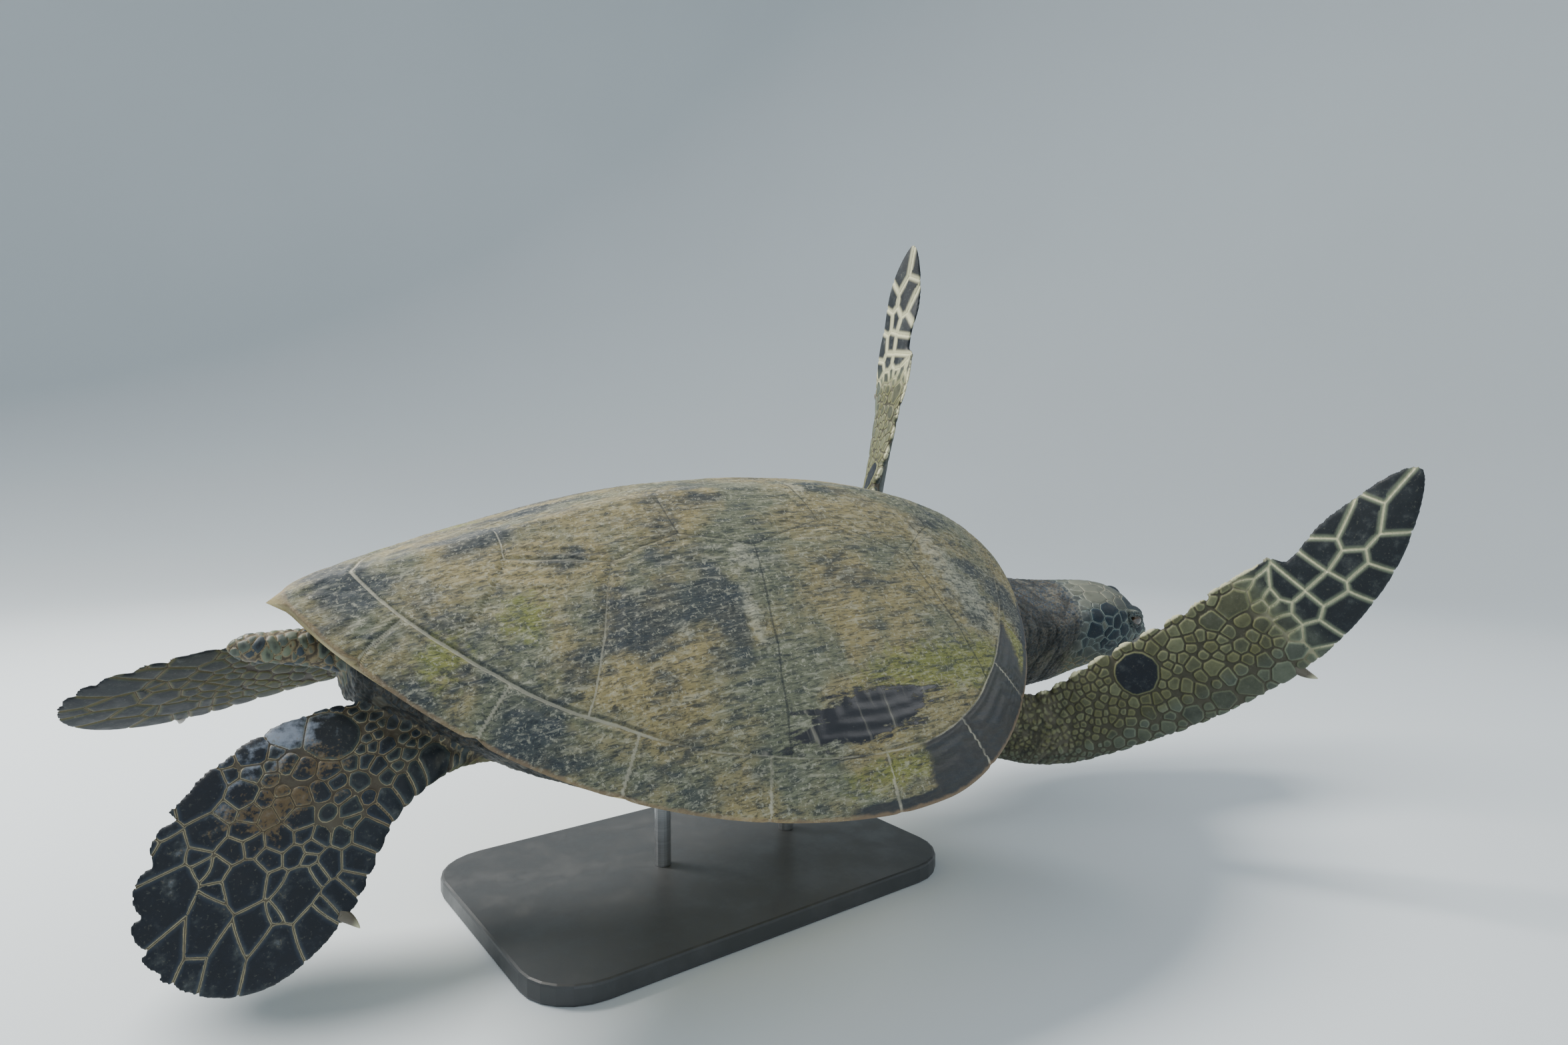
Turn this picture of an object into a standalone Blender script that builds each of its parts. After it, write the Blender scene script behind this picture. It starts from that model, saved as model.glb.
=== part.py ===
"""Green sea turtle, a still life-size model that swims in a banked turn on a display stand.

The body is drawn in its own frame: x forward, y to its left, z up, with lengths given as shares of
the shell's straight length. One empty banks that frame, turns the head to -Y and lifts it over the
base. The world origin is the middle of the base's underside.
"""

import math
from collections import namedtuple

import bmesh
import bpy
from mathutils import Matrix, Vector

# Driving sizes, in metres and radians.
SHELL = 0.84
BANK = math.radians(21.0)
BODY_PLACE = Vector((-0.03, 0.0, 0.285))
GAP = 0.0003
CUT_GROWTH = 0.0006

# The carapace, as shares of the shell's length.
HALF_WIDTH = 0.383
WIDEST = 0.076
DOME = 0.204
RIM_LIFT = {"front": 0.09, "rear": 0.102}
# How full the forms are, as powers: the outline behind and before its widest place (of the share
# of the way, then of the whole), how late the rim lifts, the dome from end to end, and its section.
REAR_OUTLINE = (2, 0.76)
FRONT_OUTLINE = (1.7, 0.76)
RIM_LATENESS = {"front": 1.45, "rear": 3.2}
DOME_FULLNESS = 0.9
SECTION = (1.33, 0.83)
SHELL_WALL = 0.024
RIM_WALL = 0.013
REAR_POINT = 0.012

# The plastron and its bridges, as shares of the shell's length.
BELLY = -0.118
PLASTRON_FRONT = 0.40
PLASTRON_REAR = -0.37
PLASTRON_WALL = 0.02
PLASTRON_LOBE = 0.215
# How low the flesh hangs in the shell's front and rear openings.
FLANK_FRONT = -0.07
FLANK_REAR = -0.01

# The head stands in a frame of its own: x to the snout, from the back of the skull.
HEAD_LENGTH = 0.205
HEAD_PLACE = (0.631, -0.046, -0.0075)
HEAD_YAW = math.radians(-24.0)
HEAD_PITCH = math.radians(3.0)
# The head's half width, top and bottom at even steps of its length.
HEAD_HALF = [0.088, 0.081, 0.076, 0.071, 0.060, 0.043, 0.021]
HEAD_TOP = [0.031, 0.042, 0.052, 0.057, 0.052, 0.031, 0.004]
HEAD_BOTTOM = [-0.138, -0.122, -0.097, -0.075, -0.060, -0.050, -0.040]
EYE_RADIUS = 0.0185
EYE_PLACE = (0.144, 0.037, 0.028)
MOUTH_HEIGHT = -0.020
HINGE = 0.075
NAPE = 0.80
BEAK_START = 0.155
BEAK_TOP = 0.010
REACH = 0.15

# How the limbs are carried. A limb leaves its root along a straight arm, and its blade then sweeps
# round by even steps. Headings turn outwards from straight ahead and rises lift from the level, in
# degrees, at the arm, the blade's first step and its last. The facing is the way that the leading
# edge looks at the root and at the tip. Every limb is told as on the right, and side -1 mirrors it.
Carriage = namedtuple("Carriage", "root arm blade steps headings rises facing spread side")
DOWN = (0.0, 0.0, -1.0)
CARRIAGES = {
    "front_right": Carriage(
        root=(0.27, -0.12, -0.065), arm=0.19, blade=0.60, steps=4,
        headings=(38, 44, 74), rises=(-3, 39, 77), facing=(DOWN, DOWN), spread=1.0, side=1,
    ),
    "front_left": Carriage(
        root=(0.27, -0.12, -0.065), arm=0.19, blade=0.60, steps=4,
        headings=(32, 40, 84), rises=(6, 54, 82), facing=(DOWN, DOWN), spread=1.0, side=-1,
    ),
    "hind_right": Carriage(
        root=(-0.28, -0.08, -0.03), arm=0.11, blade=0.28, steps=3, headings=(171, 163, 123),
        rises=(8, -10, -49), facing=((0.65, -0.75, -0.1), (0.45, -0.5, -0.75)), spread=1.0, side=1,
    ),
    "hind_left": Carriage(
        root=(-0.28, -0.12, -0.045), arm=0.105, blade=0.31, steps=3, headings=(158, 180, 168),
        rises=(-10, -7, -20), facing=((0.3, -0.5, -0.8), (0.1, -0.55, -0.8)), spread=0.96, side=-1,
    ),
}
FRONT_WIDTHS = (0.085, 0.152)
FRONT_THICKNESS = (0.085, 0.02)
HIND_WIDTHS = (0.088, 0.178)
HIND_THICKNESS = (0.07, 0.014)
# Where the claws sit, as shares of a limb's run, and how big they are beside the plain one.
FRONT_CLAW = (0.64, 1.0)
HIND_CLAW = (0.79, 0.75)
# The plain claw: how far its root lies inside the edge, its radius at each place out from there, the
# place of its tip out and ahead, how fast it bends ahead, and how flat it is.
CLAW_ROOT = 0.012
CLAW_RINGS = ((0.0, 0.0075), (0.014, 0.0065), (0.023, 0.004))
CLAW_TIP = (0.029, 0.012)
CLAW_BEND = 12
CLAW_FLATNESS = 0.7
CLAW_SIDES = 8
TAIL_PATH = ((-0.37, 0, 0.012), (-0.42, 0, 0.026), (-0.475, 0, 0.042), (-0.545, 0, 0.05))
TAIL_RADII = (0.033, 0.012)
TAIL_FLATNESS = 1.15

# The stand, in metres.
BASE_SIZE = (0.34, 0.50, 0.02)
BASE_CORNER = 0.06
BASE_EDGE = 0.003
ROD_RADIUS = 0.009
PAD_RADIUS = 0.034
PAD_THICKNESS = 0.007
ROD_STATIONS = {"front": 0.16, "rear": -0.045}

COLOURS = {
    "shell": ((0.17, 0.15, 0.085), 0.55),
    "plastron": ((0.62, 0.52, 0.30), 0.5),
    "skin": ((0.10, 0.10, 0.085), 0.6),
    "flipper_skin": ((0.09, 0.09, 0.08), 0.55),
    "beak": ((0.16, 0.13, 0.09), 0.4),
    "claw": ((0.28, 0.22, 0.14), 0.35),
    "eye": ((0.01, 0.01, 0.012), 0.08),
    "stand": ((0.03, 0.03, 0.032), 0.4),
}


def clear_scene():
    for old in list(bpy.data.objects):
        bpy.data.objects.remove(old)


def finish(name):
    """The material of one finish, made once."""
    found = bpy.data.materials.get(name)
    if found:
        return found
    colour, roughness = COLOURS[name]
    made = bpy.data.materials.new(name)
    made.use_nodes = True
    shader = made.node_tree.nodes["Principled BSDF"]
    shader.inputs["Base Color"].default_value = (*colour, 1.0)
    shader.inputs["Roughness"].default_value = roughness
    return made


def pose_empty():
    """The frame that banks the body, points its head to -Y and holds it over the base."""
    empty = bpy.data.objects.new("body_pose", None)
    empty.rotation_euler = (BANK, 0.0, -math.pi / 2)
    empty.location = BODY_PLACE
    bpy.context.scene.collection.objects.link(empty)
    return empty


def new_object(name, mesh, material, parent=None):
    made = bpy.data.objects.new(name, mesh)
    mesh.materials.append(finish(material))
    mesh.shade_smooth()
    mesh.set_sharp_from_angle(angle=math.radians(35))
    made.parent = parent
    bpy.context.scene.collection.objects.link(made)
    return made


def clamp(value, low=0.0, high=1.0):
    return min(max(value, low), high)


def ease(value):
    value = clamp(value)
    return value * value * (3 - 2 * value)


def mix(a, b, share):
    return a + (b - a) * share


def along(points, share):
    """A smooth curve through the points, of numbers or vectors, at a share of its run."""
    last = len(points) - 1
    place = clamp(share) * last
    i = min(int(place), last - 1)
    t = place - i
    p1 = points[i]
    p2 = points[i + 1]
    p0 = points[i - 1] if i else p1 * 2 - p2
    p3 = points[i + 2] if i + 2 <= last else p2 * 2 - p1
    return (
        p1 * 2 + (p2 - p0) * t + (p0 * 2 - p1 * 5 + p2 * 4 - p3) * t**2
        + (p1 * 3 - p0 - p2 * 3 + p3) * t**3
    ) * 0.5


def loft(rings, start=None, end=None):
    """A closed mesh over the rings, each end a pole point or, without one, a flat cap."""
    mesh = bpy.data.meshes.new("loft")
    bm = bmesh.new()
    loops = [[bm.verts.new(point) for point in ring] for ring in rings]
    count = len(loops[0])
    for one, two in zip(loops, loops[1:]):
        for i in range(count):
            j = (i + 1) % count
            bm.faces.new((one[i], one[j], two[j], two[i]))
    for loop, pole, turn in ((loops[0], start, -1), (loops[-1], end, 1)):
        if pole is None:
            bm.faces.new(loop[::turn])
            continue
        tip = bm.verts.new(pole)
        for i in range(count):
            pair = (loop[i], loop[(i + 1) % count])[::turn]
            bm.faces.new((*pair, tip))
    bmesh.ops.recalc_face_normals(bm, faces=bm.faces)
    bmesh.ops.triangulate(bm, faces=bm.faces)
    bm.to_mesh(mesh)
    bm.free()
    return mesh


def cutter(source, name, growth=CUT_GROWTH):
    """A hidden copy of a piece, grown outwards, that leaves the gap when it cuts its neighbours."""
    mesh = source.data.copy()
    offsets = [vertex.normal * growth for vertex in mesh.vertices]
    for vertex, offset in zip(mesh.vertices, offsets):
        vertex.co += offset
    made = bpy.data.objects.new(name, mesh)
    made.parent = source.parent
    made.matrix_basis = source.matrix_basis
    made.hide_render = True
    made.display_type = "WIRE"
    bpy.context.scene.collection.objects.link(made)
    return made


def combine(obj, operation, other):
    modifier = obj.modifiers.new(f"{operation.lower()}_{other.name}", "BOOLEAN")
    modifier.operation = operation
    modifier.solver = "EXACT"
    modifier.object = other


def cut(obj, *others):
    for other in others:
        combine(obj, "DIFFERENCE", other)


def half_width(x):
    """Half the carapace's width at x, a rounded front and a tapering rear."""
    if x < WIDEST:
        short = clamp((WIDEST - x) / (WIDEST + 0.5))
        return HALF_WIDTH * (1 - short ** REAR_OUTLINE[0]) ** REAR_OUTLINE[1]
    short = clamp((x - WIDEST) / (0.5 - WIDEST))
    return HALF_WIDTH * (1 - short ** FRONT_OUTLINE[0]) ** FRONT_OUTLINE[1]


def rim_height(x):
    if x > 0:
        return RIM_LIFT["front"] * (2 * x) ** RIM_LATENESS["front"]
    return RIM_LIFT["rear"] * (-2 * x) ** RIM_LATENESS["rear"]


def dome_height(x):
    return DOME * max(0.0, 1 - 4 * x * x) ** DOME_FULLNESS


def roof(s):
    """The dome's section from its keel, s = 0, to its rim, s = 1."""
    return max(0.0, 1 - abs(s) ** SECTION[0]) ** SECTION[1]


def plate_stations(count, low=-0.5, high=0.5):
    """Places along the body, closer together towards both ends, which are left out."""
    steps = [math.sin(math.pi / 2 * (2 * (i + 1) / (count + 1) - 1)) for i in range(count)]
    return [mix(low, high, (step + 1) / 2) for step in steps]


def carapace(parent):
    rings = []
    across = 16
    for x in plate_stations(25):
        width = half_width(x)
        rim = rim_height(x)
        dome = dome_height(x)
        wall = min(SHELL_WALL, 0.6 * dome)
        inner_width = max(width - RIM_WALL, 0.5 * width)
        ring = []
        for i in range(across + 1):
            s = 1 - 2 * i / across
            ring.append(Vector((x, width * s, rim + dome * roof(s))) * SHELL)
        for i in range(1, across):
            s = 2 * i / across - 1
            height = rim - RIM_WALL + (dome - wall + RIM_WALL) * roof(s)
            ring.append(Vector((x, inner_width * s, height)) * SHELL)
        rings.append(ring)
    rear = Vector((-0.5 - REAR_POINT, 0, RIM_LIFT["rear"] - RIM_WALL / 2)) * SHELL
    front = Vector((0.5, 0, RIM_LIFT["front"] - RIM_WALL / 2)) * SHELL
    return new_object("carapace", loft(rings, rear, front), "shell", parent)


def plastron_lobe(x):
    """Half the width of the plastron's free lobes, blunt in front and tapering behind."""
    if x > 0:
        return PLASTRON_LOBE * (1 - clamp(x / PLASTRON_FRONT) ** 3.4) ** 0.5
    return PLASTRON_LOBE * (1 - clamp(x / PLASTRON_REAR) ** 2.0) ** 0.8


def bridge(x):
    """How far the plastron's edge climbs to the carapace: 1 between the flippers, 0 on the lobes."""
    return ease((0.24 - x) / 0.15) * ease((x + 0.24) / 0.15)


def belly_height(x):
    front = 0.018 * clamp((x - 0.2) / 0.2) ** 2
    rear = 0.062 * clamp((-0.09 - x) / 0.28) ** 1.6
    return BELLY + front + rear


def plastron(parent):
    rings = []
    across = 14
    for x in plate_stations(23, PLASTRON_REAR, PLASTRON_FRONT):
        share = bridge(x)
        edge = mix(plastron_lobe(x), 0.92 * half_width(x), share)
        low = belly_height(x)
        high = mix(low + 0.014, rim_height(x) - 0.5 * RIM_WALL, share)
        wall = PLASTRON_WALL * clamp(8 * plastron_lobe(x) / PLASTRON_LOBE, 0.35, 1)
        inner_edge = max(edge - wall, 0.6 * edge)
        ring = []
        for i in range(across + 1):
            v = 2 * i / across - 1
            ring.append(Vector((x, edge * v, low + (high - low) * abs(v) ** 3.2)) * SHELL)
        for i in range(1, across):
            v = 1 - 2 * i / across
            height = low + wall + (high - low - 0.3 * wall) * abs(v) ** 3.2
            ring.append(Vector((x, inner_edge * v, height)) * SHELL)
        rings.append(ring)
    ends = [
        Vector((x, 0, belly_height(x) + PLASTRON_WALL / 4)) * SHELL
        for x in (PLASTRON_REAR, PLASTRON_FRONT)
    ]
    return new_object("plastron", loft(rings, *ends), "plastron", parent)


def trunk(parent):
    """The flesh between the two shell plates, which shows at the front, the rear and the flanks."""
    rings = []
    across = 10
    for x in plate_stations(13, -0.45, 0.465):
        width = 0.9 * half_width(x) - 0.024
        side = rim_height(x) - 0.025
        top = rim_height(x) + dome_height(x) - 0.013
        end = FLANK_FRONT if x > 0 else FLANK_REAR
        low = mix(belly_height(x) + 0.01, end, ease((abs(x) - 0.3) / 0.16))
        ring = []
        for i in range(across + 1):
            v = 1 - 2 * i / across
            ring.append(Vector((x, width * v, side + (top - side) * roof(v))) * SHELL)
        for i in range(1, across):
            v = 2 * i / across - 1
            ring.append(Vector((x, width * v, low + (side - low) * abs(v) ** 2.8)) * SHELL)
        rings.append(ring)
    return new_object("trunk", loft(rings), "skin", parent)


def bone(length, heading, rise):
    """A straight run of a limb, turned outwards by its heading and lifted by its rise."""
    turn = math.radians(heading)
    lift = math.radians(rise)
    flat = length * math.cos(lift)
    return Vector((flat * math.cos(turn), -flat * math.sin(turn), length * math.sin(lift)))


def limb_path(carriage):
    """The middle line of a limb: a straight arm, then a blade that sweeps round by even steps."""
    points = [Vector(carriage.root)]
    points.append(points[0] + bone(carriage.arm, carriage.headings[0], carriage.rises[0]))
    for i in range(carriage.steps):
        share = i / (carriage.steps - 1)
        heading = mix(carriage.headings[1], carriage.headings[2], share)
        rise = mix(carriage.rises[1], carriage.rises[2], share)
        points.append(points[-1] + bone(carriage.blade / carriage.steps, heading, rise))
    return points


def limb_section(carriage, share):
    """A limb's middle at a share of its run, and its ways ahead, to the leading edge and up."""
    path = limb_path(carriage)
    ahead = (along(path, share + 0.01) - along(path, share - 0.01)).normalized()
    facing = Vector(carriage.facing[0]).lerp(Vector(carriage.facing[1]), share)
    lead = (facing - ahead * ahead.dot(facing)).normalized()
    return along(path, share), ahead, lead, ahead.cross(lead)


def limb(name, parent, carriage, width_at, thick_at, stations):
    """A flipper round its middle line, full at the leading edge and thin behind it."""
    around = 12
    mirror = Matrix.Diagonal((1, carriage.side, 1))
    rings = []
    for share in stations:
        centre, _, lead, up = limb_section(carriage, share)
        half = carriage.spread * width_at(share) / 2
        ring = []
        for i in range(around):
            angle = 2 * math.pi * i / around
            forward = math.cos(angle)
            fullness = 0.45 + 0.55 * (forward + 1) / 2
            point = centre + lead * (forward * half)
            point += up * (math.sin(angle) * fullness * thick_at(share) / 2)
            ring.append(mirror @ point * SHELL)
        rings.append(ring)
    tip = mirror @ limb_path(carriage)[-1] * SHELL
    return new_object(name, loft(rings, None, tip), "flipper_skin", parent)


def front_width(share):
    """The front flipper's width: even along the arm, then tapering to the tip."""
    taper = clamp((share - 0.62) / 0.38)
    return mix(*FRONT_WIDTHS, ease(share / 0.45)) * (1 - taper**1.25) ** 0.6


def front_thickness(share):
    return mix(*FRONT_THICKNESS, ease(share / 0.75)) * (1 - clamp((share - 0.6) / 0.4) ** 3) ** 0.5


def hind_width(share):
    """The hind flipper's width: a narrow shank that opens into a blunt paddle."""
    blunt = (1 - clamp((share - 0.62) / 0.38) ** 3.0) ** 0.5
    return mix(*HIND_WIDTHS, ease((share - 0.1) / 0.65)) * blunt


def hind_thickness(share):
    return mix(*HIND_THICKNESS, ease(share / 0.7)) * (1 - clamp((share - 0.6) / 0.4) ** 4) ** 0.5


def front_flippers(parent):
    stations = [0.0, 0.07, 0.14, 0.21, 0.28, 0.36, 0.44, 0.52, 0.6, 0.67, 0.74, 0.81]
    stations += [0.87, 0.92, 0.96, 0.985]
    sizes = (front_width, front_thickness, stations)
    return {
        side: limb(f"front_flipper_{side}", parent, CARRIAGES[f"front_{side}"], *sizes)
        for side in ("right", "left")
    }


def hind_flippers(parent):
    stations = [0.0, 0.12, 0.24, 0.36, 0.47, 0.57, 0.66, 0.75, 0.83, 0.9, 0.95, 0.98]
    sizes = (hind_width, hind_thickness, stations)
    return {
        side: limb(f"hind_flipper_{side}", parent, CARRIAGES[f"hind_{side}"], *sizes)
        for side in ("right", "left")
    }


def tail(parent):
    path = [Vector(point) for point in TAIL_PATH]
    rings = []
    for share in (0.0, 0.2, 0.4, 0.6, 0.8, 0.93):
        radius = mix(*TAIL_RADII, share)
        centre = along(path, share)
        rings.append([
            (centre + Vector((0, math.cos(a) * radius * TAIL_FLATNESS, math.sin(a) * radius))) * SHELL
            for a in (2 * math.pi * i / 12 for i in range(12))
        ])
    return new_object("tail", loft(rings, None, path[-1] * SHELL), "skin", parent)


def head_frame():
    turn = Matrix.Rotation(HEAD_YAW, 4, "Z") @ Matrix.Rotation(HEAD_PITCH, 4, "Y")
    return Matrix.Translation(Vector(HEAD_PLACE) * SHELL) @ turn


def head_section(share):
    """(half width, top, bottom) of the head at a share of its length, from the skull's back."""
    return along(HEAD_HALF, share), along(HEAD_TOP, share), along(HEAD_BOTTOM, share)


def head_ring(share, count=20, shrink=1.0):
    half, top, bottom = head_section(share)
    ring = []
    for i in range(count):
        angle = 2 * math.pi * i / count
        across = math.copysign(abs(math.cos(angle)) ** 0.85, math.cos(angle))
        rise = math.copysign(abs(math.sin(angle)) ** 0.9, math.sin(angle))
        height = (top if rise > 0 else -bottom) * rise
        ring.append(Vector((share * HEAD_LENGTH, half * across * shrink, height * shrink)) * SHELL)
    return ring


def head_blank(name, material, parent):
    shares = [0.0, 0.1, 0.2, 0.3, 0.4, 0.5, 0.6, 0.7, 0.78, 0.85, 0.91, 0.96, 0.99]
    rings = [head_ring(share) for share in shares]
    snout = Vector((HEAD_LENGTH * 1.003, 0, -0.017)) * SHELL
    made = new_object(name, loft(rings, None, snout), material, parent)
    made.matrix_basis = head_frame()
    return made


def slab(name, outline, parent):
    """A hidden prism right across the head, from its outline in x and z of the head's frame."""
    mesh = bpy.data.meshes.new(name)
    bm = bmesh.new()
    sides = [[bm.verts.new(Vector((x, y, z)) * SHELL) for x, z in outline] for y in (-REACH, REACH)]
    bm.faces.new(sides[0])
    bm.faces.new(sides[1][::-1])
    count = len(outline)
    for i in range(count):
        j = (i + 1) % count
        bm.faces.new((sides[0][i], sides[0][j], sides[1][j], sides[1][i]))
    bmesh.ops.recalc_face_normals(bm, faces=bm.faces)
    bm.to_mesh(mesh)
    bm.free()
    made = bpy.data.objects.new(name, mesh)
    made.parent = parent
    made.matrix_basis = head_frame()
    made.hide_render = True
    made.display_type = "WIRE"
    bpy.context.scene.collection.objects.link(made)
    return made


def ball(name, radius, material, parent, place, segments=16, rings=9):
    mesh = bpy.data.meshes.new(name)
    bm = bmesh.new()
    bmesh.ops.create_uvsphere(bm, u_segments=segments, v_segments=rings, radius=radius * SHELL)
    bm.to_mesh(mesh)
    bm.free()
    made = new_object(name, mesh, material, parent)
    made.matrix_basis = head_frame() @ Matrix.Translation(Vector(place) * SHELL)
    return made


def head_pieces(parent):
    """The skull with its skin, the lower jaw, and the horny beak in its two halves."""
    gap = GAP / SHELL
    front = HEAD_LENGTH + REACH
    over = MOUTH_HEIGHT + gap
    cleared = (
        (HINGE, -REACH),
        (front, -REACH),
        (front, BEAK_TOP),
        (BEAK_START, BEAK_TOP),
        (BEAK_START, over),
        (HINGE, over),
    )
    head = head_blank("head", "skin", parent)
    cut(head, slab("mouth_room", cleared, parent))
    pieces = {"head": head}
    rooms = (
        ("jaw", "skin", HINGE + gap, BEAK_START - gap, -REACH, MOUTH_HEIGHT),
        ("beak_lower", "beak", BEAK_START, front, -REACH, MOUTH_HEIGHT),
        ("beak_upper", "beak", BEAK_START + gap, front, over, BEAK_TOP - gap),
    )
    for name, material, rear, fore, low, high in rooms:
        piece = head_blank(name, material, parent)
        outline = ((rear, low), (fore, low), (fore, high), (rear, high))
        combine(piece, "INTERSECT", slab(f"{name}_space", outline, parent))
        pieces[name] = piece
    for name, side in (("right", -1), ("left", 1)):
        place = (EYE_PLACE[0], EYE_PLACE[1] * side, EYE_PLACE[2])
        eye = ball(f"eye_{name}", EYE_RADIUS, "eye", parent, place)
        socket = cutter(eye, f"eye_socket_{name}")
        cut(head, socket)
        pieces[f"eye_{name}"] = eye
    return pieces


def neck(parent):
    """From the shell's front opening, bending with the head into the turn."""
    end = head_frame()
    back = Vector((-GAP, 0, 0))
    last = [end @ (point + back) for point in head_ring(0.0)]
    path = [
        Vector((0.36, 0.0, 0.0)),
        Vector((0.46, -0.002, -0.004)),
        Vector((0.55, -0.017, -0.006)),
        Vector(HEAD_PLACE),
    ]
    rings = []
    for share in (0.0, 0.15, 0.3, 0.45, 0.6, 0.75, 0.88):
        centre = along(path, share) * SHELL
        yaw = HEAD_YAW * ease((share - 0.25) / 0.75)
        turn = Matrix.Rotation(yaw, 3, "Z")
        girth = mix(1.08, 1.12, ease(share / 0.4)) - 0.08 * ease((share - 0.6) / 0.4)
        ring = []
        for point in head_ring(0.0):
            height = point.z * (girth if point.z < 0 else NAPE)
            ring.append(Vector((0, point.y * girth, height)))
        rings.append([centre + turn @ point for point in ring])
    rings.append(last)
    return new_object("neck", loft(rings), "skin", parent)


def claw(name, flipper, stance, carriage, width_at, parent):
    """A short curved claw on the leading edge of a flipper."""
    share, size = stance
    mirror = Matrix.Diagonal((1, carriage.side, 1))
    centre, ahead, lead, up = limb_section(carriage, share)
    root = centre + lead * (carriage.spread * width_at(share) / 2 - CLAW_ROOT * size)
    rings = []
    for step, radius in CLAW_RINGS:
        middle = root + lead * (step * size) + ahead * (CLAW_BEND * step**2 * size)
        ring = []
        for i in range(CLAW_SIDES):
            angle = 2 * math.pi * i / CLAW_SIDES
            wide = math.cos(angle) * radius * size
            tall = math.sin(angle) * radius * size * CLAW_FLATNESS
            ring.append(mirror @ (middle + ahead * wide + up * tall) * SHELL)
        rings.append(ring)
    tip = mirror @ (root + lead * (CLAW_TIP[0] * size) + ahead * (CLAW_TIP[1] * size)) * SHELL
    made = new_object(name, loft(rings, None, tip), "claw", parent)
    cut(made, cutter(flipper, f"{name}_bed"))


def claws(front, hind, parent):
    for side in ("right", "left"):
        on_front = (FRONT_CLAW, CARRIAGES[f"front_{side}"], front_width, parent)
        claw(f"front_claw_{side}", front[side], *on_front)
        on_hind = (HIND_CLAW, CARRIAGES[f"hind_{side}"], hind_width, parent)
        claw(f"hind_claw_{side}", hind[side], *on_hind)


def stand(parent):
    """A flat base and two upright rods, each with a round pad that lies against the plastron."""
    mesh = bpy.data.meshes.new("stand_base")
    bm = bmesh.new()
    half = Vector(BASE_SIZE) / 2
    corners = []
    for cx, cy, start in ((1, 1, 0), (-1, 1, 90), (-1, -1, 180), (1, -1, 270)):
        for step in range(7):
            angle = math.radians(start + 15 * step)
            x = cx * (half.x - BASE_CORNER) + BASE_CORNER * math.cos(angle)
            y = cy * (half.y - BASE_CORNER) + BASE_CORNER * math.sin(angle)
            corners.append(bm.verts.new((x, y, 0)))
    face = bm.faces.new(corners)
    raised = bmesh.ops.extrude_face_region(bm, geom=[face])["geom"]
    top = [item for item in raised if isinstance(item, bmesh.types.BMVert)]
    bmesh.ops.translate(bm, verts=top, vec=(0, 0, BASE_SIZE[2]))
    bmesh.ops.recalc_face_normals(bm, faces=bm.faces)
    bm.to_mesh(mesh)
    bm.free()
    base = new_object("stand_base", mesh, "stand")
    bevel = base.modifiers.new("edge", "BEVEL")
    bevel.width = BASE_EDGE
    bevel.segments = 2
    bevel.limit_method = "ANGLE"
    turned = Matrix.Rotation(-math.pi / 2, 4, "Z") @ Matrix.Rotation(BANK, 4, "X")
    posed = Matrix.Translation(BODY_PLACE) @ turned
    for name, station in ROD_STATIONS.items():
        middle = Vector((station * SHELL, 0, BELLY * SHELL - GAP - PAD_THICKNESS / 2))
        pad = cylinder(f"stand_pad_{name}", PAD_RADIUS, PAD_THICKNESS, 24)
        pad.parent = parent
        pad.location = middle
        top = posed @ middle
        height = top.z - BASE_SIZE[2] - GAP
        rod = cylinder(f"stand_rod_{name}", ROD_RADIUS, height, 16)
        rod.location = (top.x, top.y, BASE_SIZE[2] + GAP + height / 2)
        cut(rod, cutter(pad, f"stand_pad_{name}_bed"))


def cylinder(name, radius, depth, segments):
    mesh = bpy.data.meshes.new(name)
    bm = bmesh.new()
    bmesh.ops.create_cone(
        bm, cap_ends=True, segments=segments, radius1=radius, radius2=radius, depth=depth
    )
    bm.to_mesh(mesh)
    bm.free()
    return new_object(name, mesh, "stand")


def build():
    clear_scene()
    pose = pose_empty()
    shell = carapace(pose)
    belly = plastron(pose)
    flesh = trunk(pose)
    shell_room = cutter(shell, "carapace_room")
    belly_room = cutter(belly, "plastron_room")
    flesh_room = cutter(flesh, "trunk_room")
    cut(belly, shell_room)
    cut(flesh, shell_room, belly_room)
    throat = neck(pose)
    cut(throat, flesh_room, shell_room, belly_room)
    head_pieces(pose)
    front = front_flippers(pose)
    hind = hind_flippers(pose)
    claws(front, hind, pose)
    rear = tail(pose)
    for piece in (*front.values(), *hind.values(), rear):
        cut(piece, flesh_room, shell_room, belly_room)
    stand(pose)


build()
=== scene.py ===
"""The looks of a green sea turtle model that swims in a banked turn on a plain display stand.

Shapes are worked out in the turtle's own frame: x to the snout, y to its left, z up, with lengths
in shares of the shell's straight length until they are multiplied by SHELL.
"""

import itertools
import math
from collections import namedtuple

import bmesh
import bpy
import numpy as np
from mathutils import Matrix, Vector, kdtree


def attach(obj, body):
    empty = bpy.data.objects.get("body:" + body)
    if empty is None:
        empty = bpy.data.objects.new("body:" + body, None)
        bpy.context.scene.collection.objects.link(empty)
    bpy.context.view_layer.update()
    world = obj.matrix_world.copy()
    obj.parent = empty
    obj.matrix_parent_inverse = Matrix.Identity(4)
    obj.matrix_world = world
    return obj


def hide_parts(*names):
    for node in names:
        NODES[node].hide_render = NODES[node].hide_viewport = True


bl_info = {
    "name": "Sea Turtle Display Model",
    "version": (1, 0, 0),
    "blender": (4, 5, 0),
    "location": "View3D > Sidebar > Sea Turtle",
    "description": "Builds the skin, shell, eyes, beak, claws and stand of a still sea turtle model",
    "category": "Object",
}

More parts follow.
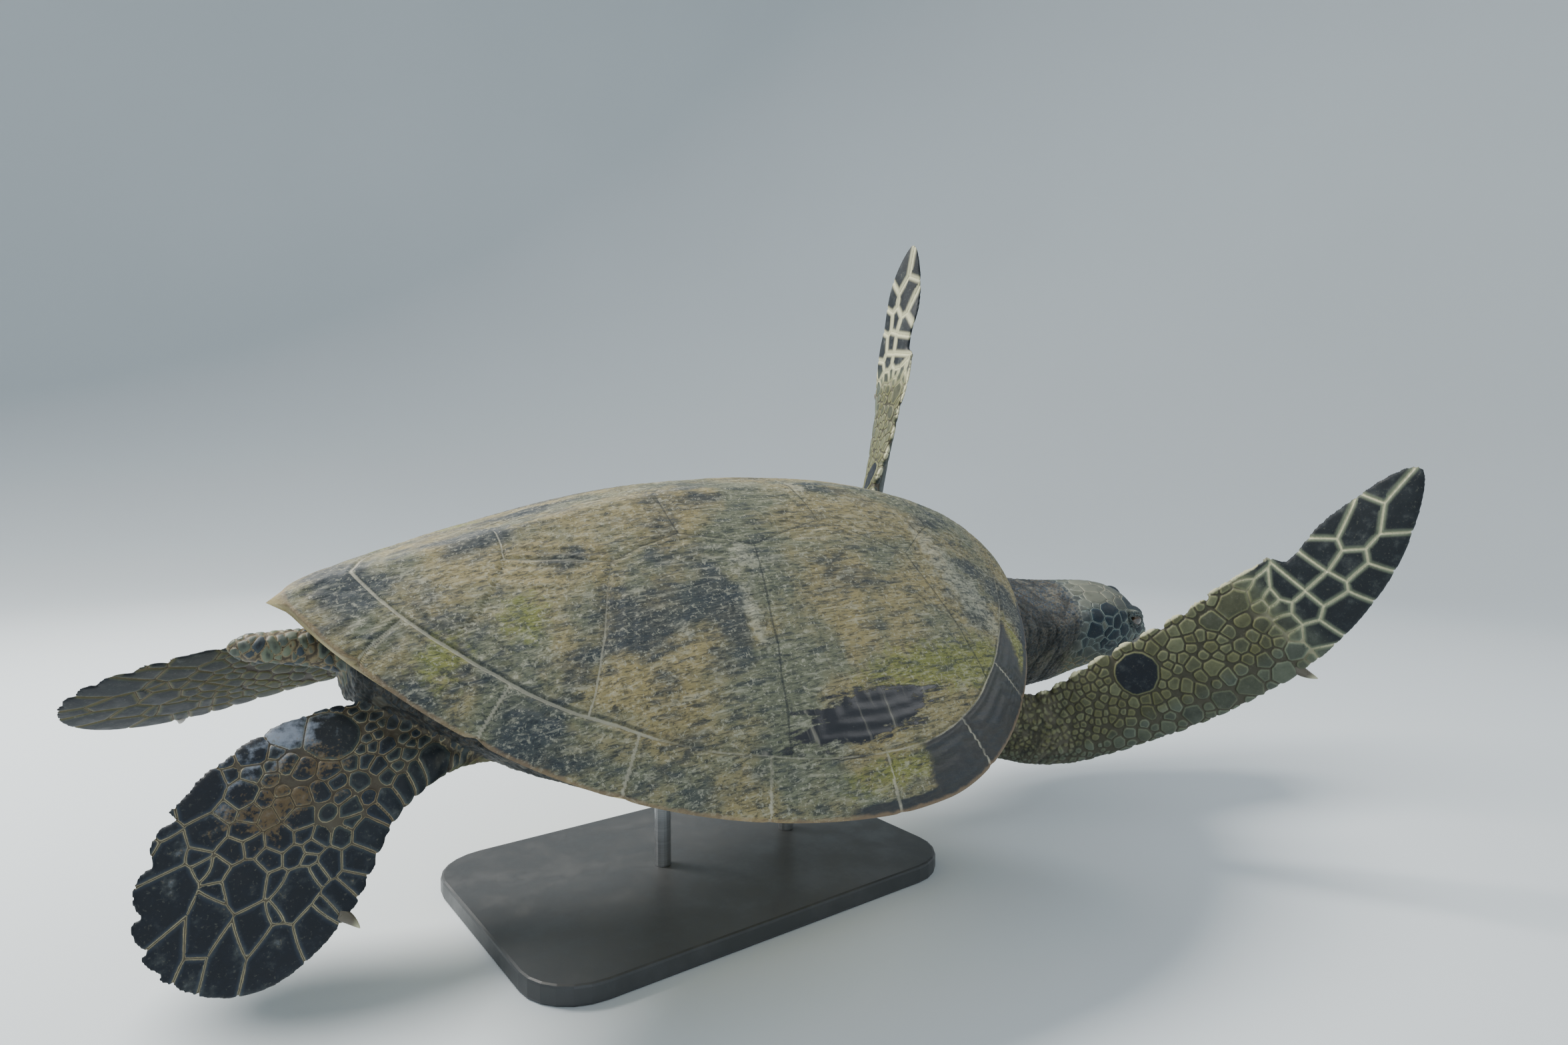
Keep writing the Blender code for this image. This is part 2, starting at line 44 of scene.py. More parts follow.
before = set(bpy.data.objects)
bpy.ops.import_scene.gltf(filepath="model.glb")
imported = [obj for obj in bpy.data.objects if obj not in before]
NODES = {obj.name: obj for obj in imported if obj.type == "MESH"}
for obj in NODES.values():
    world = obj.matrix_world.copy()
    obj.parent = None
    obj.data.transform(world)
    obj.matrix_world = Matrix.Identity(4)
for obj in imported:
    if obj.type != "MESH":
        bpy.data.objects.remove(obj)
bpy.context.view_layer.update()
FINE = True

SHELL = 0.84
BANK = math.radians(21.0)
BODY_PLACE = Vector((-0.03, 0.0, 0.285))
BODY_POSE = (
    Matrix.Translation(BODY_PLACE)
    @ Matrix.Rotation(-math.pi / 2, 4, "Z")
    @ Matrix.Rotation(BANK, 4, "X")
)

# The carapace and the plastron, in shares of the shell's length.
HALF_WIDTH = 0.383
WIDEST = 0.076
DOME = 0.204
RIM_LIFT = {"front": 0.09, "rear": 0.102}
# How full the forms are, as powers: the outline behind and before its widest place (of the share
# of the way, then of the whole), how late the rim lifts, the dome from end to end, and its section.
REAR_OUTLINE = (2, 0.76)
FRONT_OUTLINE = (1.7, 0.76)
RIM_LATENESS = {"front": 1.45, "rear": 3.2}
DOME_FULLNESS = 0.9
SECTION = (1.33, 0.83)
SHELL_WALL = 0.024
RIM_WALL = 0.013
REAR_POINT = 0.012
# Where the carapace's last ring lies, from which it closes to its rear point.
REAR_RING = -0.496
MARGIN_BAND = 0.062
BELLY = -0.118
PLASTRON_FRONT = 0.40
PLASTRON_REAR = -0.37
PLASTRON_WALL = 0.02
PLASTRON_LOBE = 0.215
FLANK_FRONT = -0.07
FLANK_REAR = -0.01
# From where to where along the body the flesh fills each end of the shell.
TRUNK_FRONT = (0.12, 0.462)
TRUNK_REAR = (-0.445, -0.14)
TAIL_PATH = ((-0.37, 0, 0.012), (-0.42, 0, 0.026), (-0.475, 0, 0.042), (-0.545, 0, 0.05))
TAIL_RADII = (0.033, 0.012)

# The head, in a frame of its own: x to the snout from the back of the skull.
HEAD_LENGTH = 0.205
HEAD_PLACE = (0.631, -0.046, -0.0075)
HEAD_YAW = math.radians(-24.0)
HEAD_PITCH = math.radians(3.0)
HEAD_HALF = (0.088, 0.081, 0.076, 0.071, 0.060, 0.043, 0.021)
HEAD_TOP = (0.031, 0.042, 0.052, 0.057, 0.052, 0.031, 0.004)
HEAD_BOTTOM = (-0.138, -0.122, -0.097, -0.075, -0.060, -0.050, -0.040)
# Where the snout starts to close in a round, and the height of its very tip.
SNOUT_ROUND = 0.90
SNOUT_HEIGHT = -0.019
EYE_RADIUS = 0.0185
EYE_PLACE = (0.144, 0.037, 0.028)
# How far the lids open in degrees, to the rear and the front and then down and up, and the power
# that rounds the opening.
LID_WIDTHS = (44.0, 40.0)
LID_HEIGHTS = (21.0, 19.0)
LID_ROUND = 1.7
MOUTH_HEIGHT = -0.020
MOUTH_CORNER = 0.088
NAPE = 0.80
NECK_PATH = ((0.36, 0.0, 0.0), (0.46, -0.002, -0.004), (0.55, -0.017, -0.006), HEAD_PLACE)
BEAK_START = 0.155
BEAK_TOP = 0.010
# Where the beak's upper edge is at its full height, and how much it falls towards the mouth's corner.
BEAK_SLANT = (0.197, 0.42)

# How the limbs are carried. A limb leaves its root along a straight arm, and its blade then sweeps
# round by even steps. Headings turn outwards from straight ahead and rises lift from the level, in
# degrees, at the arm, the blade's first step and its last. The facing is the way that the leading
# edge looks at the root and at the tip. Every limb is told as on the right, and side -1 mirrors it.
Carriage = namedtuple("Carriage", "root arm blade steps headings rises facing spread side")
DOWN = (0.0, 0.0, -1.0)
CARRIAGES = {
    "front_right": Carriage(
        root=(0.27, -0.12, -0.065), arm=0.19, blade=0.60, steps=4,
        headings=(38, 44, 74), rises=(-3, 39, 77), facing=(DOWN, DOWN), spread=1.0, side=1,
    ),
    "front_left": Carriage(
        root=(0.27, -0.12, -0.065), arm=0.19, blade=0.60, steps=4,
        headings=(32, 40, 84), rises=(6, 54, 82), facing=(DOWN, DOWN), spread=1.0, side=-1,
    ),
    "hind_right": Carriage(
        root=(-0.28, -0.08, -0.03), arm=0.11, blade=0.28, steps=3, headings=(171, 163, 123),
        rises=(8, -10, -49), facing=((0.65, -0.75, -0.1), (0.45, -0.5, -0.75)), spread=1.0, side=1,
    ),
    "hind_left": Carriage(
        root=(-0.28, -0.12, -0.045), arm=0.105, blade=0.31, steps=3, headings=(158, 180, 168),
        rises=(-10, -7, -20), facing=((0.3, -0.5, -0.8), (0.1, -0.55, -0.8)), spread=0.96, side=-1,
    ),
}
FRONT_WIDTHS = (0.085, 0.152)
FRONT_THICKNESS = (0.085, 0.02)
HIND_WIDTHS = (0.088, 0.178)
HIND_THICKNESS = (0.07, 0.014)
# Where a claw sits along the run, and its size beside the plain one.
FRONT_CLAW = (0.64, 1.0)
HIND_CLAW = (0.79, 0.75)
# The plain claw: how deep it is rooted, its length and its thickness, how strongly it bends to the
# tip and how far its point ends up aside, and how flat it is.
CLAW_ROOT = 0.012
CLAW_LENGTH = 0.029
CLAW_THICKNESS = 0.0075
CLAW_BEND = 12
CLAW_ASIDE = 0.0101
CLAW_FLATNESS = 0.7

# Scales that are placed one by one on a flipper: share of its run, place from the trailing (-1) to the
# leading (1) edge, reach in millimetres, stretch along the run, and how dark the middle is.
FRONT_SCALES = (
    (0.24, 0.40, 6, 0.5, 0.1), (0.285, 0.45, 8, 0.6, 0.1), (0.33, 0.66, 9, 0.7, 0.2),
    (0.375, 0.72, 10, 0.7, 0.2), (0.405, 0.30, 9, 0.7, 0.6), (0.42, 0.76, 11, 0.8, 0.1),
    (0.468, 0.72, 13, 0.8, 0.6), (0.52, 0.72, 13, 0.8, 0.5), (0.57, 0.72, 13, 0.9, 0.3),
    (0.45, 0.38, 8, 0.8, 0.4), (0.62, 0.80, 11, 1.2, 0.05), (0.612, 0.45, 9, 0.8, 0.6),
    (0.50, 0.36, 8, 0.8, 0.5), (0.55, 0.36, 9, 0.8, 0.6),
    # The leading row of the blade, then the middle one and the trailing one.
    (0.66, 0.62, 11, 0.9, 0.6), (0.70, 0.66, 12, 1.0, 0.9), (0.755, 0.66, 13, 1.3, 1.0),
    (0.815, 0.62, 12, 1.2, 1.0), (0.87, 0.60, 12, 1.5, 1.0), (0.94, 0.45, 17, 1.9, 1.0),
    (0.68, 0.15, 9, 0.9, 0.9), (0.72, 0.18, 9, 1.1, 1.0), (0.765, 0.18, 10, 1.2, 1.0),
    (0.82, 0.12, 10, 1.3, 1.0),
    (0.72, -0.30, 8, 1.0, 1.0), (0.765, -0.35, 9, 1.2, 1.0), (0.81, -0.42, 10, 1.3, 1.0),
    (0.885, -0.25, 15, 1.9, 1.0), (0.945, -0.45, 9, 2.0, 1.0), (0.86, -0.75, 7, 1.8, 1.0),
    (0.39, 0.03, 6, 0.8, 0.2), (0.43, 0.15, 7, 0.8, 0.3), (0.485, 0.18, 8, 0.8, 0.3),
    (0.515, 0.12, 7, 0.7, 0.2), (0.595, 0.28, 6, 1.0, 0.5), (0.635, 0.20, 6, 1.0, 0.6),
    (0.60, 0.05, 7, 1.2, 0.6), (0.65, -0.05, 7, 1.0, 0.7), (0.675, -0.55, 8, 1.2, 0.6),
    (0.59, -0.55, 11, 1.0, 0.8), (0.64, -0.62, 13, 1.5, 0.6), (0.545, -0.72, 8, 1.0, 0.3),
    (0.47, -0.70, 7, 1.0, 0.4), (0.48, -0.30, 5, 1.0, 0.3), (0.48, -0.48, 5, 1.0, 0.3),
    (0.53, -0.38, 5, 1.0, 0.2),
)
# The one large round dark scale near the base of the front flipper's trailing half.
FRONT_SPOT = (0.422, -0.42, 25, 1.0, 1.6)
HIND_SCALES = (
    (0.27, 0.75, 14, 0.8, 0.6), (0.32, 0.75, 10, 0.6, 0.7), (0.365, 0.75, 9, 0.7, 0.7),
    (0.42, 0.75, 10, 0.8, 0.7), (0.465, 0.75, 9, 0.7, 0.6), (0.53, 0.80, 14, 0.9, 0.9),
    (0.605, 0.82, 13, 0.9, 1.0), (0.67, 0.86, 10, 1.0, 1.0), (0.725, 0.80, 12, 0.9, 1.0),
    (0.775, 0.74, 10, 0.8, 1.0), (0.84, 0.72, 12, 1.3, 1.0), (0.93, 0.55, 17, 1.7, 1.0),
    (0.655, 0.55, 7, 1.0, 0.9), (0.695, 0.48, 7, 1.0, 0.9), (0.76, 0.42, 13, 1.5, 1.0),
    (0.82, 0.35, 8, 1.0, 1.0), (0.87, 0.20, 12, 1.4, 1.0), (0.94, -0.02, 14, 1.7, 1.0),
    (0.60, 0.05, 8, 1.0, 0.7), (0.66, 0.02, 8, 1.0, 0.7), (0.705, 0.03, 7, 1.0, 0.8),
    (0.765, -0.06, 13, 1.1, 0.9), (0.80, -0.27, 6, 1.0, 0.9), (0.87, -0.33, 13, 1.9, 1.0),
    (0.945, -0.45, 11, 1.6, 1.0),
    (0.83, -0.68, 15, 1.8, 0.9), (0.91, -0.65, 13, 2.0, 1.0),
    (0.43, -0.52, 22, 0.9, 0.9), (0.485, -0.84, 13, 1.1, 0.8), (0.55, -0.86, 11, 1.0, 0.6),
    (0.62, -0.57, 10, 1.0, 0.6), (0.65, -0.88, 14, 1.4, 0.5), (0.705, -0.60, 10, 1.2, 0.5),
    (0.76, -0.78, 10, 1.4, 0.6), (0.53, 0.02, 7, 0.8, 0.8), (0.565, -0.10, 6, 1.0, 0.8),
    (0.45, 0.25, 7, 0.8, 0.7), (0.39, 0.25, 6, 0.9, 0.7), (0.35, 0.05, 6, 1.0, 0.7),
)
# Scales of the head: share of its length, angle up from its side in degrees, reach in millimetres,
# stretch along the head, and how dark they are. All but those on the crown have a twin.
HEAD_SCALES = (
    (0.31, 36, 11, 0.8, 1.0), (0.42, 48, 11, 1.1, 1.0), (0.42, 28, 7, 0.8, 1.0),
    (0.205, 38, 8, 0.9, 0.8), (0.30, 10, 12, 1.1, 1.0), (0.43, 11, 6, 0.8, 1.0),
    (0.50, 27, 9, 0.7, 1.0), (0.50, 4, 7, 1.3, 1.0), (0.43, -6, 6, 1.0, 1.0),
    (0.52, -9, 8, 1.4, 0.9), (0.60, 14, 9, 0.9, 1.0), (0.64, -7, 8, 1.2, 1.0),
    (0.23, 62, 8, 1.0, 0.4), (0.34, 72, 14, 1.1, 0.2), (0.56, 62, 11, 1.0, 0.5),
    (0.47, 76, 10, 1.0, 0.3), (0.58, 38, 6, 0.9, 1.0), (0.70, 66, 14, 1.6, 0.9),
    (0.20, 15, 7, 0.9, 0.6), (0.19, -8, 7, 1.0, 0.4), (0.33, -16, 8, 1.2, 0.5),
    (0.43, -28, 8, 1.2, 0.5), (0.58, -24, 9, 1.4, 0.7), (0.70, -22, 8, 1.5, 0.7),
    (0.80, 74, 11, 1.9, 0.9), (0.80, 20, 7, 1.2, 0.9), (0.88, 60, 8, 1.4, 0.9),
    (0.22, 84, 8, 1.0, 0.3), (0.62, -50, 9, 1.6, 0.4), (0.80, -40, 9, 1.5, 0.6),
)
# Scales along the crown. These and the top rows above are given little darkness: painted light, the top of
# the head paler as lit from above.
CROWN_SCALES = (
    (0.38, 90, 13, 1.3, 0.25), (0.58, 90, 12, 1.2, 0.4), (0.70, 90, 9, 1.3, 0.7),
    (0.25, 90, 8, 1.0, 0.3), (0.93, 85, 8, 1.2, 0.9),
)

# Carapace scutes, in shares of the shell's length along the body.
VERTEBRAL_SEAMS = (-0.44, -0.30, -0.115, 0.08, 0.28, 0.44)
VERTEBRAL_EDGE = (
    (-0.52, 0.045), (-0.44, 0.072), (-0.385, 0.075), (-0.30, 0.037), (-0.20, 0.078),
    (-0.115, 0.062), (-0.03, 0.094), (0.08, 0.068), (0.19, 0.122), (0.28, 0.062),
    (0.40, 0.112), (0.52, 0.10),
)
COSTAL_SEAMS = ((-0.30, -0.40), (-0.20, -0.27), (-0.03, -0.095), (0.19, 0.215), (0.43, 0.45))
# Where one marginal scute ends and the next begins, as shares of the rim from rear to front. The
# last is over the middle line, because one plate lies right across the front.
MARGINAL_SEAMS = (
    0.0, 0.088, 0.188, 0.293, 0.40, 0.508, 0.616, 0.72, 0.80, 0.86, 0.91, 0.95, 0.985, 1.06,
)
# Where the rim is notched between marginal scutes, and how deeply beside the rearmost notch.
RIM_NOTCHES = ((0.088, 1.0), (0.188, 0.8), (0.293, 0.35))
# Where the seams of the plastron and of its bridges cross it, along the body.
PLATE_SEAMS = (-0.40, -0.29, -0.19, -0.05, 0.09, 0.20, 0.32, 0.42)
BRIDGE_SEAMS = (-0.22, -0.10, 0.01, 0.12, 0.22)


def colour(red, green, blue):
    """A linear colour from the three numbers, 0 to 255, of a paint chart."""
    shares = (value / 255 for value in (red, green, blue))
    return tuple(s / 12.92 if s <= 0.04045 else ((s + 0.055) / 1.055) ** 2.4 for s in shares)


def paint(name, description, *chart):
    return bpy.props.FloatVectorProperty(
        name=name, description=description, default=colour(*chart), subtype="COLOR", min=0, max=1
    )


def length(name, description, default):
    return bpy.props.FloatProperty(
        name=name, description=description, default=default, unit="LENGTH", min=0, precision=5
    )


class TurtleSizes(bpy.types.PropertyGroup):
    """Sizes of the surface relief."""

    skin_detail: length("Skin detail", "Size of the skin's mesh faces", 0.00155 if FINE else 0.0021)
    scale_relief: length("Scale relief", "Depth of the furrows between scales", 0.0011)
    wrinkle_relief: length("Wrinkle relief", "Depth of the wrinkles on the neck", 0.0016)
    lid_wall: length("Eyelid", "How far the lids stand over the eyeball", 0.0014)
    scute_relief: length("Scute relief", "Depth of the seams of the carapace", 0.0016)
    shell_relief: length("Shell relief", "Height of the carapace's low swellings", 0.0022)
    skin_under_beak: length("Beak room", "How far the skin lies under the beak", 0.0035)


class TurtleColours(bpy.types.PropertyGroup):
    """Colours of the turtle and its stand."""

    olive_scale: paint("Olive scale", "Pale scales of the front flippers", 116, 116, 78)
    grey_scale: paint("Grey scale", "Large scales along the leading edge", 104, 112, 94)
    black_scale: paint("Black scale", "Dark scutes of the blades", 24, 29, 36)
    slate_scale: paint("Slate scale", "Dark scales of the hind flippers", 50, 60, 72)
    head_scale: paint("Head scale", "Dark scales of the head", 34, 50, 60)
    # Crown scale is also painted light: the paler colour of the lit top of the head; the skin's pale
    # specks use it as well.
    crown_scale: paint("Crown scale", "Faded scales on top of the head", 118, 120, 106)
    cream_seam: paint("Cream seam", "Pale skin between scutes", 206, 204, 168)
    dark_seam: paint("Dark seam", "Dark skin between small scales", 44, 41, 42)
    tan_seam: paint("Tan seam", "Skin between hind scales", 150, 134, 100)
    head_seam: paint("Head seam", "Skin between head scales", 134, 148, 144)
    neck_skin: paint("Neck skin", "Loose skin of the neck", 60, 64, 66)
    # Also the pale trim between small scales; on the raised folds of the neck it is a painted highlight.
    neck_wrinkle: paint("Neck wrinkle", "Lit ridges of the neck's skin", 116, 112, 98)
    belly_skin: paint("Belly skin", "Pale skin of the underside", 206, 198, 160)
    bleached_scale: paint("Bleached scale", "Faded corner of the right hind flipper", 158, 168, 184)
    stain: paint("Stain", "Brown growth on the hind flippers", 112, 92, 58)
    shell_olive: paint("Shell olive", "Main colour of the carapace", 98, 101, 82)
    shell_ochre: paint("Shell ochre", "Warm patches of the carapace", 136, 124, 84)
    shell_slate: paint("Shell slate", "Dark patches of the carapace", 44, 53, 60)
    shell_pale: paint("Shell pale", "Bleached patches of the carapace", 164, 163, 145)
    shell_algae: paint("Shell algae", "Green growth on the carapace", 112, 116, 54)
    shell_seam: paint("Shell seam", "Worn seams between scutes", 170, 166, 148)
    shell_bare: paint("Bare horn", "Scraped dark horn", 38, 40, 45)
    shell_rim: paint("Rim", "Worn edge of the carapace", 134, 112, 84)
    plastron_horn: paint("Plastron", "Pale horn of the plastron", 222, 204, 150)
    beak_horn: paint("Beak", "Horn of the beak", 78, 74, 62)
    claw_horn: paint("Claw", "Horn of the claws", 84, 78, 66)
    base_paint: paint("Base paint", "Paint of the stand's base", 58, 60, 62)
    floor_paint: paint("Floor", "Studio floor and backdrop", 208, 215, 219)


def sizes():
    return bpy.context.scene.turtle_sizes


def tone_of(name):
    """A colour of the panel."""
    return getattr(bpy.context.scene.turtle_colours, name)


def shade_of(name, share):
    """A darker or lighter shade of a colour of the panel."""
    return tuple(share * c for c in tone_of(name))


def tone_array(tone):
    return np.array(tone_of(tone)) if isinstance(tone, str) else np.asarray(tone)


# Plain maths on whole arrays.


def ease(value):
    value = np.clip(value, 0.0, 1.0)
    return value * value * (3 - 2 * value)


def step(value, low, high):
    """A smooth rise from 0 at low to 1 at high."""
    return ease((value - low) / (high - low))


def mix(one, two, share):
    return one + (two - one) * share


def unit(vectors):
    return vectors / np.maximum(np.linalg.norm(vectors, axis=-1, keepdims=True), 1e-12)


def bump(value, middle, spread):
    """A smooth hill of height 1."""
    return np.exp(-(((value - middle) / spread) ** 2))


def spline(points, shares):
    """Places on the smooth curve through the points, at shares of its run."""
    points = np.asarray(points, float)
    flat = points.ndim == 1
    points = points.reshape(len(points), -1)
    last = len(points) - 1
    place = np.clip(np.asarray(shares, float), 0, 1) * last
    i = np.minimum(place.astype(int), last - 1)
    t = (place - i)[..., None]
    ends = np.vstack([2 * points[0] - points[1], points, 2 * points[-1] - points[-2]])
    p0, p1, p2, p3 = ends[i], ends[i + 1], ends[i + 2], ends[i + 3]
    found = 0.5 * (
        2 * p1
        + (p2 - p0) * t
        + (2 * p0 - 5 * p1 + 4 * p2 - p3) * t**2
        + (3 * p1 - p0 - 3 * p2 + p3) * t**3
    )
    return found[..., 0] if flat else found


def angles_round(count):
    """Even angles all the way round."""
    return np.linspace(0, 2 * math.pi, count, endpoint=False)


def run_of(steps):
    """How far along each point is, from the steps between them."""
    return np.concatenate([[0], np.cumsum(steps)])


def rings_of(x, across, height):
    """Rings of places from one x each and the two other measures of every place."""
    return np.stack(np.broadcast_arrays(x[:, None], across, height), -1)


def knots(pairs, value):
    """A line through pairs of (place, height)."""
    places, heights = zip(*pairs)
    return np.interp(value, places, heights)


def luck_of(place, seed):
    """A large whole number for each cell of a grid, the same at every run."""
    code = place[:, 0] * 73856093 ^ place[:, 1] * 19349663 ^ place[:, 2] * 83492791
    return (code ^ seed * 2654435761) & 0xFFFFFFFF


def grain(points, seed=0):
    """Smooth random heights from -1 to 1, one unit apart."""
    cell = np.floor(points).astype(np.int64)
    part = points - cell
    part = part * part * (3 - 2 * part)
    total = np.zeros(len(points))
    for corner in itertools.product((0, 1), repeat=3):
        code = luck_of(cell + np.array(corner), seed)
        code = ((code ^ (code >> 13)) * 1274126177) & 0xFFFFFFFF
        code = code ^ (code >> 16)
        weight = np.prod(np.where(corner, part, 1 - part), axis=1)
        total += weight * ((code & 0xFFFF) / 32768.0 - 1)
    return total


def rough(points, octaves=3, seed=0):
    """Random heights with finer ones laid over them."""
    total = np.zeros(len(points))
    for octave in range(octaves):
        total += grain(points * 2**octave, seed + octave) / 2**octave
    return total / 1.6


# Meshes.


def mesh_from(name, points, quads, triangles=()):
    """A mesh from arrays of points and faces."""
    mesh = bpy.data.meshes.new(name)
    quads = np.asarray(quads, np.int32).reshape(-1, 4)
    triangles = np.asarray(triangles, np.int32).reshape(-1, 3)
    corners = np.concatenate([quads.ravel(), triangles.ravel()])
    starts = np.concatenate(
        [np.arange(len(quads)) * 4, len(quads) * 4 + np.arange(len(triangles)) * 3]
    )
    mesh.vertices.add(len(points))
    mesh.vertices.foreach_set("co", np.asarray(points, np.float32).ravel())
    mesh.loops.add(len(corners))
    mesh.loops.foreach_set("vertex_index", corners)
    mesh.polygons.add(len(starts))
    mesh.polygons.foreach_set("loop_start", starts.astype(np.int32))
    mesh.update(calc_edges=True)
    mesh.validate()
    return mesh


def tube(rings, start=None, end=None):
    """(points, quads, triangles) of a closed skin over rings, each end a pole or a middle point."""
    rings = np.asarray(rings, float)
    rows, count = rings.shape[:2]
    index = np.arange(rows * count).reshape(rows, count)
    ahead = np.roll(index, -1, axis=1)
    quads = np.stack([index[:-1], ahead[:-1], ahead[1:], index[1:]], -1).reshape(-1, 4)
    first = rings[0].mean(0) if start is None else np.asarray(start, float)
    last = rings[-1].mean(0) if end is None else np.asarray(end, float)
    points = np.vstack([rings.reshape(-1, 3), first, last])
    one, two = rows * count, rows * count + 1
    head = np.stack([ahead[0], index[0], np.full(count, one)], -1)
    tail = np.stack([index[-1], ahead[-1], np.full(count, two)], -1)
    return points, quads, np.vstack([head, tail])


def put(name, mesh, finish, slot, *replaced):
    """Puts a piece with its finish in the scene, riding on the model."""
    made = bpy.data.objects.new(name, mesh)
    bpy.context.scene.collection.objects.link(made)
    mesh.shade_smooth()
    mesh.materials.append(finish)
    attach(made, "root")
    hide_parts(*replaced)


def to_world(points, frame=None):
    """Points in metres of the body's frame, or of a frame in it, as places in the room."""
    return moved(np.asarray(points), BODY_POSE if frame is None else BODY_POSE @ frame)


def note(mesh, name, values):
    """Keeps one number, one vector or one colour with its alpha for each point of the mesh."""
    values = np.asarray(values, np.float32)
    width = values.size // len(mesh.vertices)
    kind, key = {1: ("FLOAT", "value"), 3: ("FLOAT_VECTOR", "vector"), 4: ("FLOAT_COLOR", "color")}[width]
    mesh.attributes.new(name, kind, "POINT").data.foreach_set(key, values.ravel())


def bake_map(mesh, across, along):
    """A map for baking, from two numbers at each corner of each face."""
    layer = mesh.uv_layers.new(name="OFBake")
    layer.data.foreach_set("uv", np.stack([across, along], -1).astype(np.float32).ravel())


def read(rows, key, kind=np.int32, width=1):
    """One number, or a row of them, for each item of a mesh."""
    found = np.empty(len(rows) * width, kind)
    rows.foreach_get(key, found)
    return found


def corners_of(mesh):
    return read(mesh.loops, "vertex_index")


def points_of(mesh):
    return read(mesh.vertices, "co", np.float32, 3).reshape(-1, 3).astype(float)


def outward_of(mesh):
    return read(mesh.vertex_normals, "vector", np.float32, 3).reshape(-1, 3).astype(float)


def place_points(mesh, points):
    """Moves the mesh's points to those places."""
    mesh.vertices.foreach_set("co", points.astype(np.float32).ravel())
    mesh.update()


# Shader nodes.


def with_settings(item, **settings):
    """The item, with those settings made."""
    for key, value in settings.items():
        setattr(item, key, value)
    return item


def feed(tree, slot, value):
    """Links a value to a socket, or sets the socket to a plain number or colour."""
    if isinstance(value, Value):
        tree.links.new(value.socket, slot)
    else:
        slot.default_value = value


class Value:
    """The output of a shader node, for use in Python expressions."""

    def __init__(self, tree, socket):
        self.tree = tree
        self.socket = socket

    def maths(self, operation, *terms):
        node = self.tree.nodes.new("ShaderNodeMath")
        node.operation = operation
        for slot, term in zip(node.inputs, terms):
            feed(self.tree, slot, term)
        return Value(self.tree, node.outputs[0])

    def sign(operation, turned=False):
        """A method that adds one Math node, with its two terms turned round or not."""
        if turned:
            return lambda self, other: self.maths(operation, other, self)
        return lambda self, *others: self.maths(operation, self, *others)

    __add__, __radd__ = sign("ADD"), sign("ADD", True)
    __sub__, __rsub__ = sign("SUBTRACT"), sign("SUBTRACT", True)
    __mul__, __rmul__ = sign("MULTIPLY"), sign("MULTIPLY", True)
    __truediv__ = sign("DIVIDE")
    __abs__ = sign("ABSOLUTE")
    higher = sign("MAXIMUM")
    whole = sign("ROUND")


class Finish:
    """One material under construction."""

    def __init__(self, name, **fixed):
        self.material = bpy.data.materials.new(name)
        self.material.use_nodes = True
        self.tree = self.material.node_tree
        self.shader = self.tree.nodes["Principled BSDF"]
        by_name = {socket.name.lower().replace(" ", "_"): socket for socket in self.shader.inputs}
        for name_of, value in fixed.items():
            by_name[name_of].default_value = value

    def node(self, kind, settings=None, inputs=None, output=0):
        """A node of that type, with its settings made first and then its sockets."""
        made = with_settings(self.tree.nodes.new(kind), **(settings or {}))
        for key, value in (inputs or {}).items():
            feed(self.tree, made.inputs[key], value)
        return Value(self.tree, made.outputs[output])

    def kept(self, name, output="Fac"):
        return self.node("ShaderNodeAttribute", {"attribute_name": name}, output=output)

    def stretched(self, place, x, y, z):
        return self.node("ShaderNodeVectorMath", {"operation": "MULTIPLY"}, {0: place, 1: (x, y, z)})

    def noise(self, place, scale, detail=3.0, roughness=0.55, distortion=0.0):
        inputs = {"Vector": place, "Scale": scale, "Detail": detail, "Roughness": roughness}
        return self.node("ShaderNodeTexNoise", None, inputs | {"Distortion": distortion})

    def rise(self, value, low, high, start=0.0, end=1.0):
        """A smooth change from start to end while the value goes from low to high."""
        inputs = {"Value": value, "From Min": low, "From Max": high, "To Min": start, "To Max": end}
        return self.node("ShaderNodeMapRange", {"interpolation_type": "SMOOTHSTEP"}, inputs)

    def blend(self, share, one, two, way="MIX"):
        """One colour changing to another."""
        inputs = {0: share, 6: self.full(one), 7: self.full(two)}
        settings = {"data_type": "RGBA", "blend_type": way, "clamp_factor": True}
        return self.node("ShaderNodeMix", settings, inputs, output=2)

    def cover(self, base, *layers):
        """The base under layers of (value, low, high, amount, tone), each shown as the value rises."""
        for value, low, high, amount, tone in layers:
            base = self.blend(self.rise(value, low, high) * amount, base, tone)
        return base

    def full(self, tone):
        if isinstance(tone, Value):
            return tone
        return (*(tone_of(tone) if isinstance(tone, str) else tone)[:3], 1.0)

    def finish(self, base, roughness=None, height=None, strength=0.5, distance=0.001):
        """The material, with its colour, roughness and fine relief linked."""
        for socket, value in {"Base Color": base, "Roughness": roughness}.items():
            if value is not None:
                feed(self.tree, self.shader.inputs[socket], value)
        if height is not None:
            inputs = {"Strength": strength, "Distance": distance, "Height": height}
            normal = self.node("ShaderNodeBump", None, inputs)
            self.tree.links.new(normal.socket, self.shader.inputs["Normal"])
        return self.material


# The body's forms.


def half_width(x):
    rear = np.clip((WIDEST - x) / (WIDEST + 0.5), 0, 1)
    front = np.clip((x - WIDEST) / (0.5 - WIDEST), 0, 1)
    behind = (1 - rear ** REAR_OUTLINE[0]) ** REAR_OUTLINE[1]
    before = (1 - front ** FRONT_OUTLINE[0]) ** FRONT_OUTLINE[1]
    return HALF_WIDTH * np.where(x < WIDEST, behind, before)


def rim_height(x):
    ahead = RIM_LIFT["front"] * np.abs(2 * x) ** RIM_LATENESS["front"]
    return np.where(x > 0, ahead, RIM_LIFT["rear"] * np.abs(2 * x) ** RIM_LATENESS["rear"])


def dome_height(x):
    return DOME * np.clip(1 - 4 * x * x, 0, 1) ** DOME_FULLNESS


def roof(s):
    return np.clip(1 - np.abs(s) ** SECTION[0], 0, 1) ** SECTION[1]


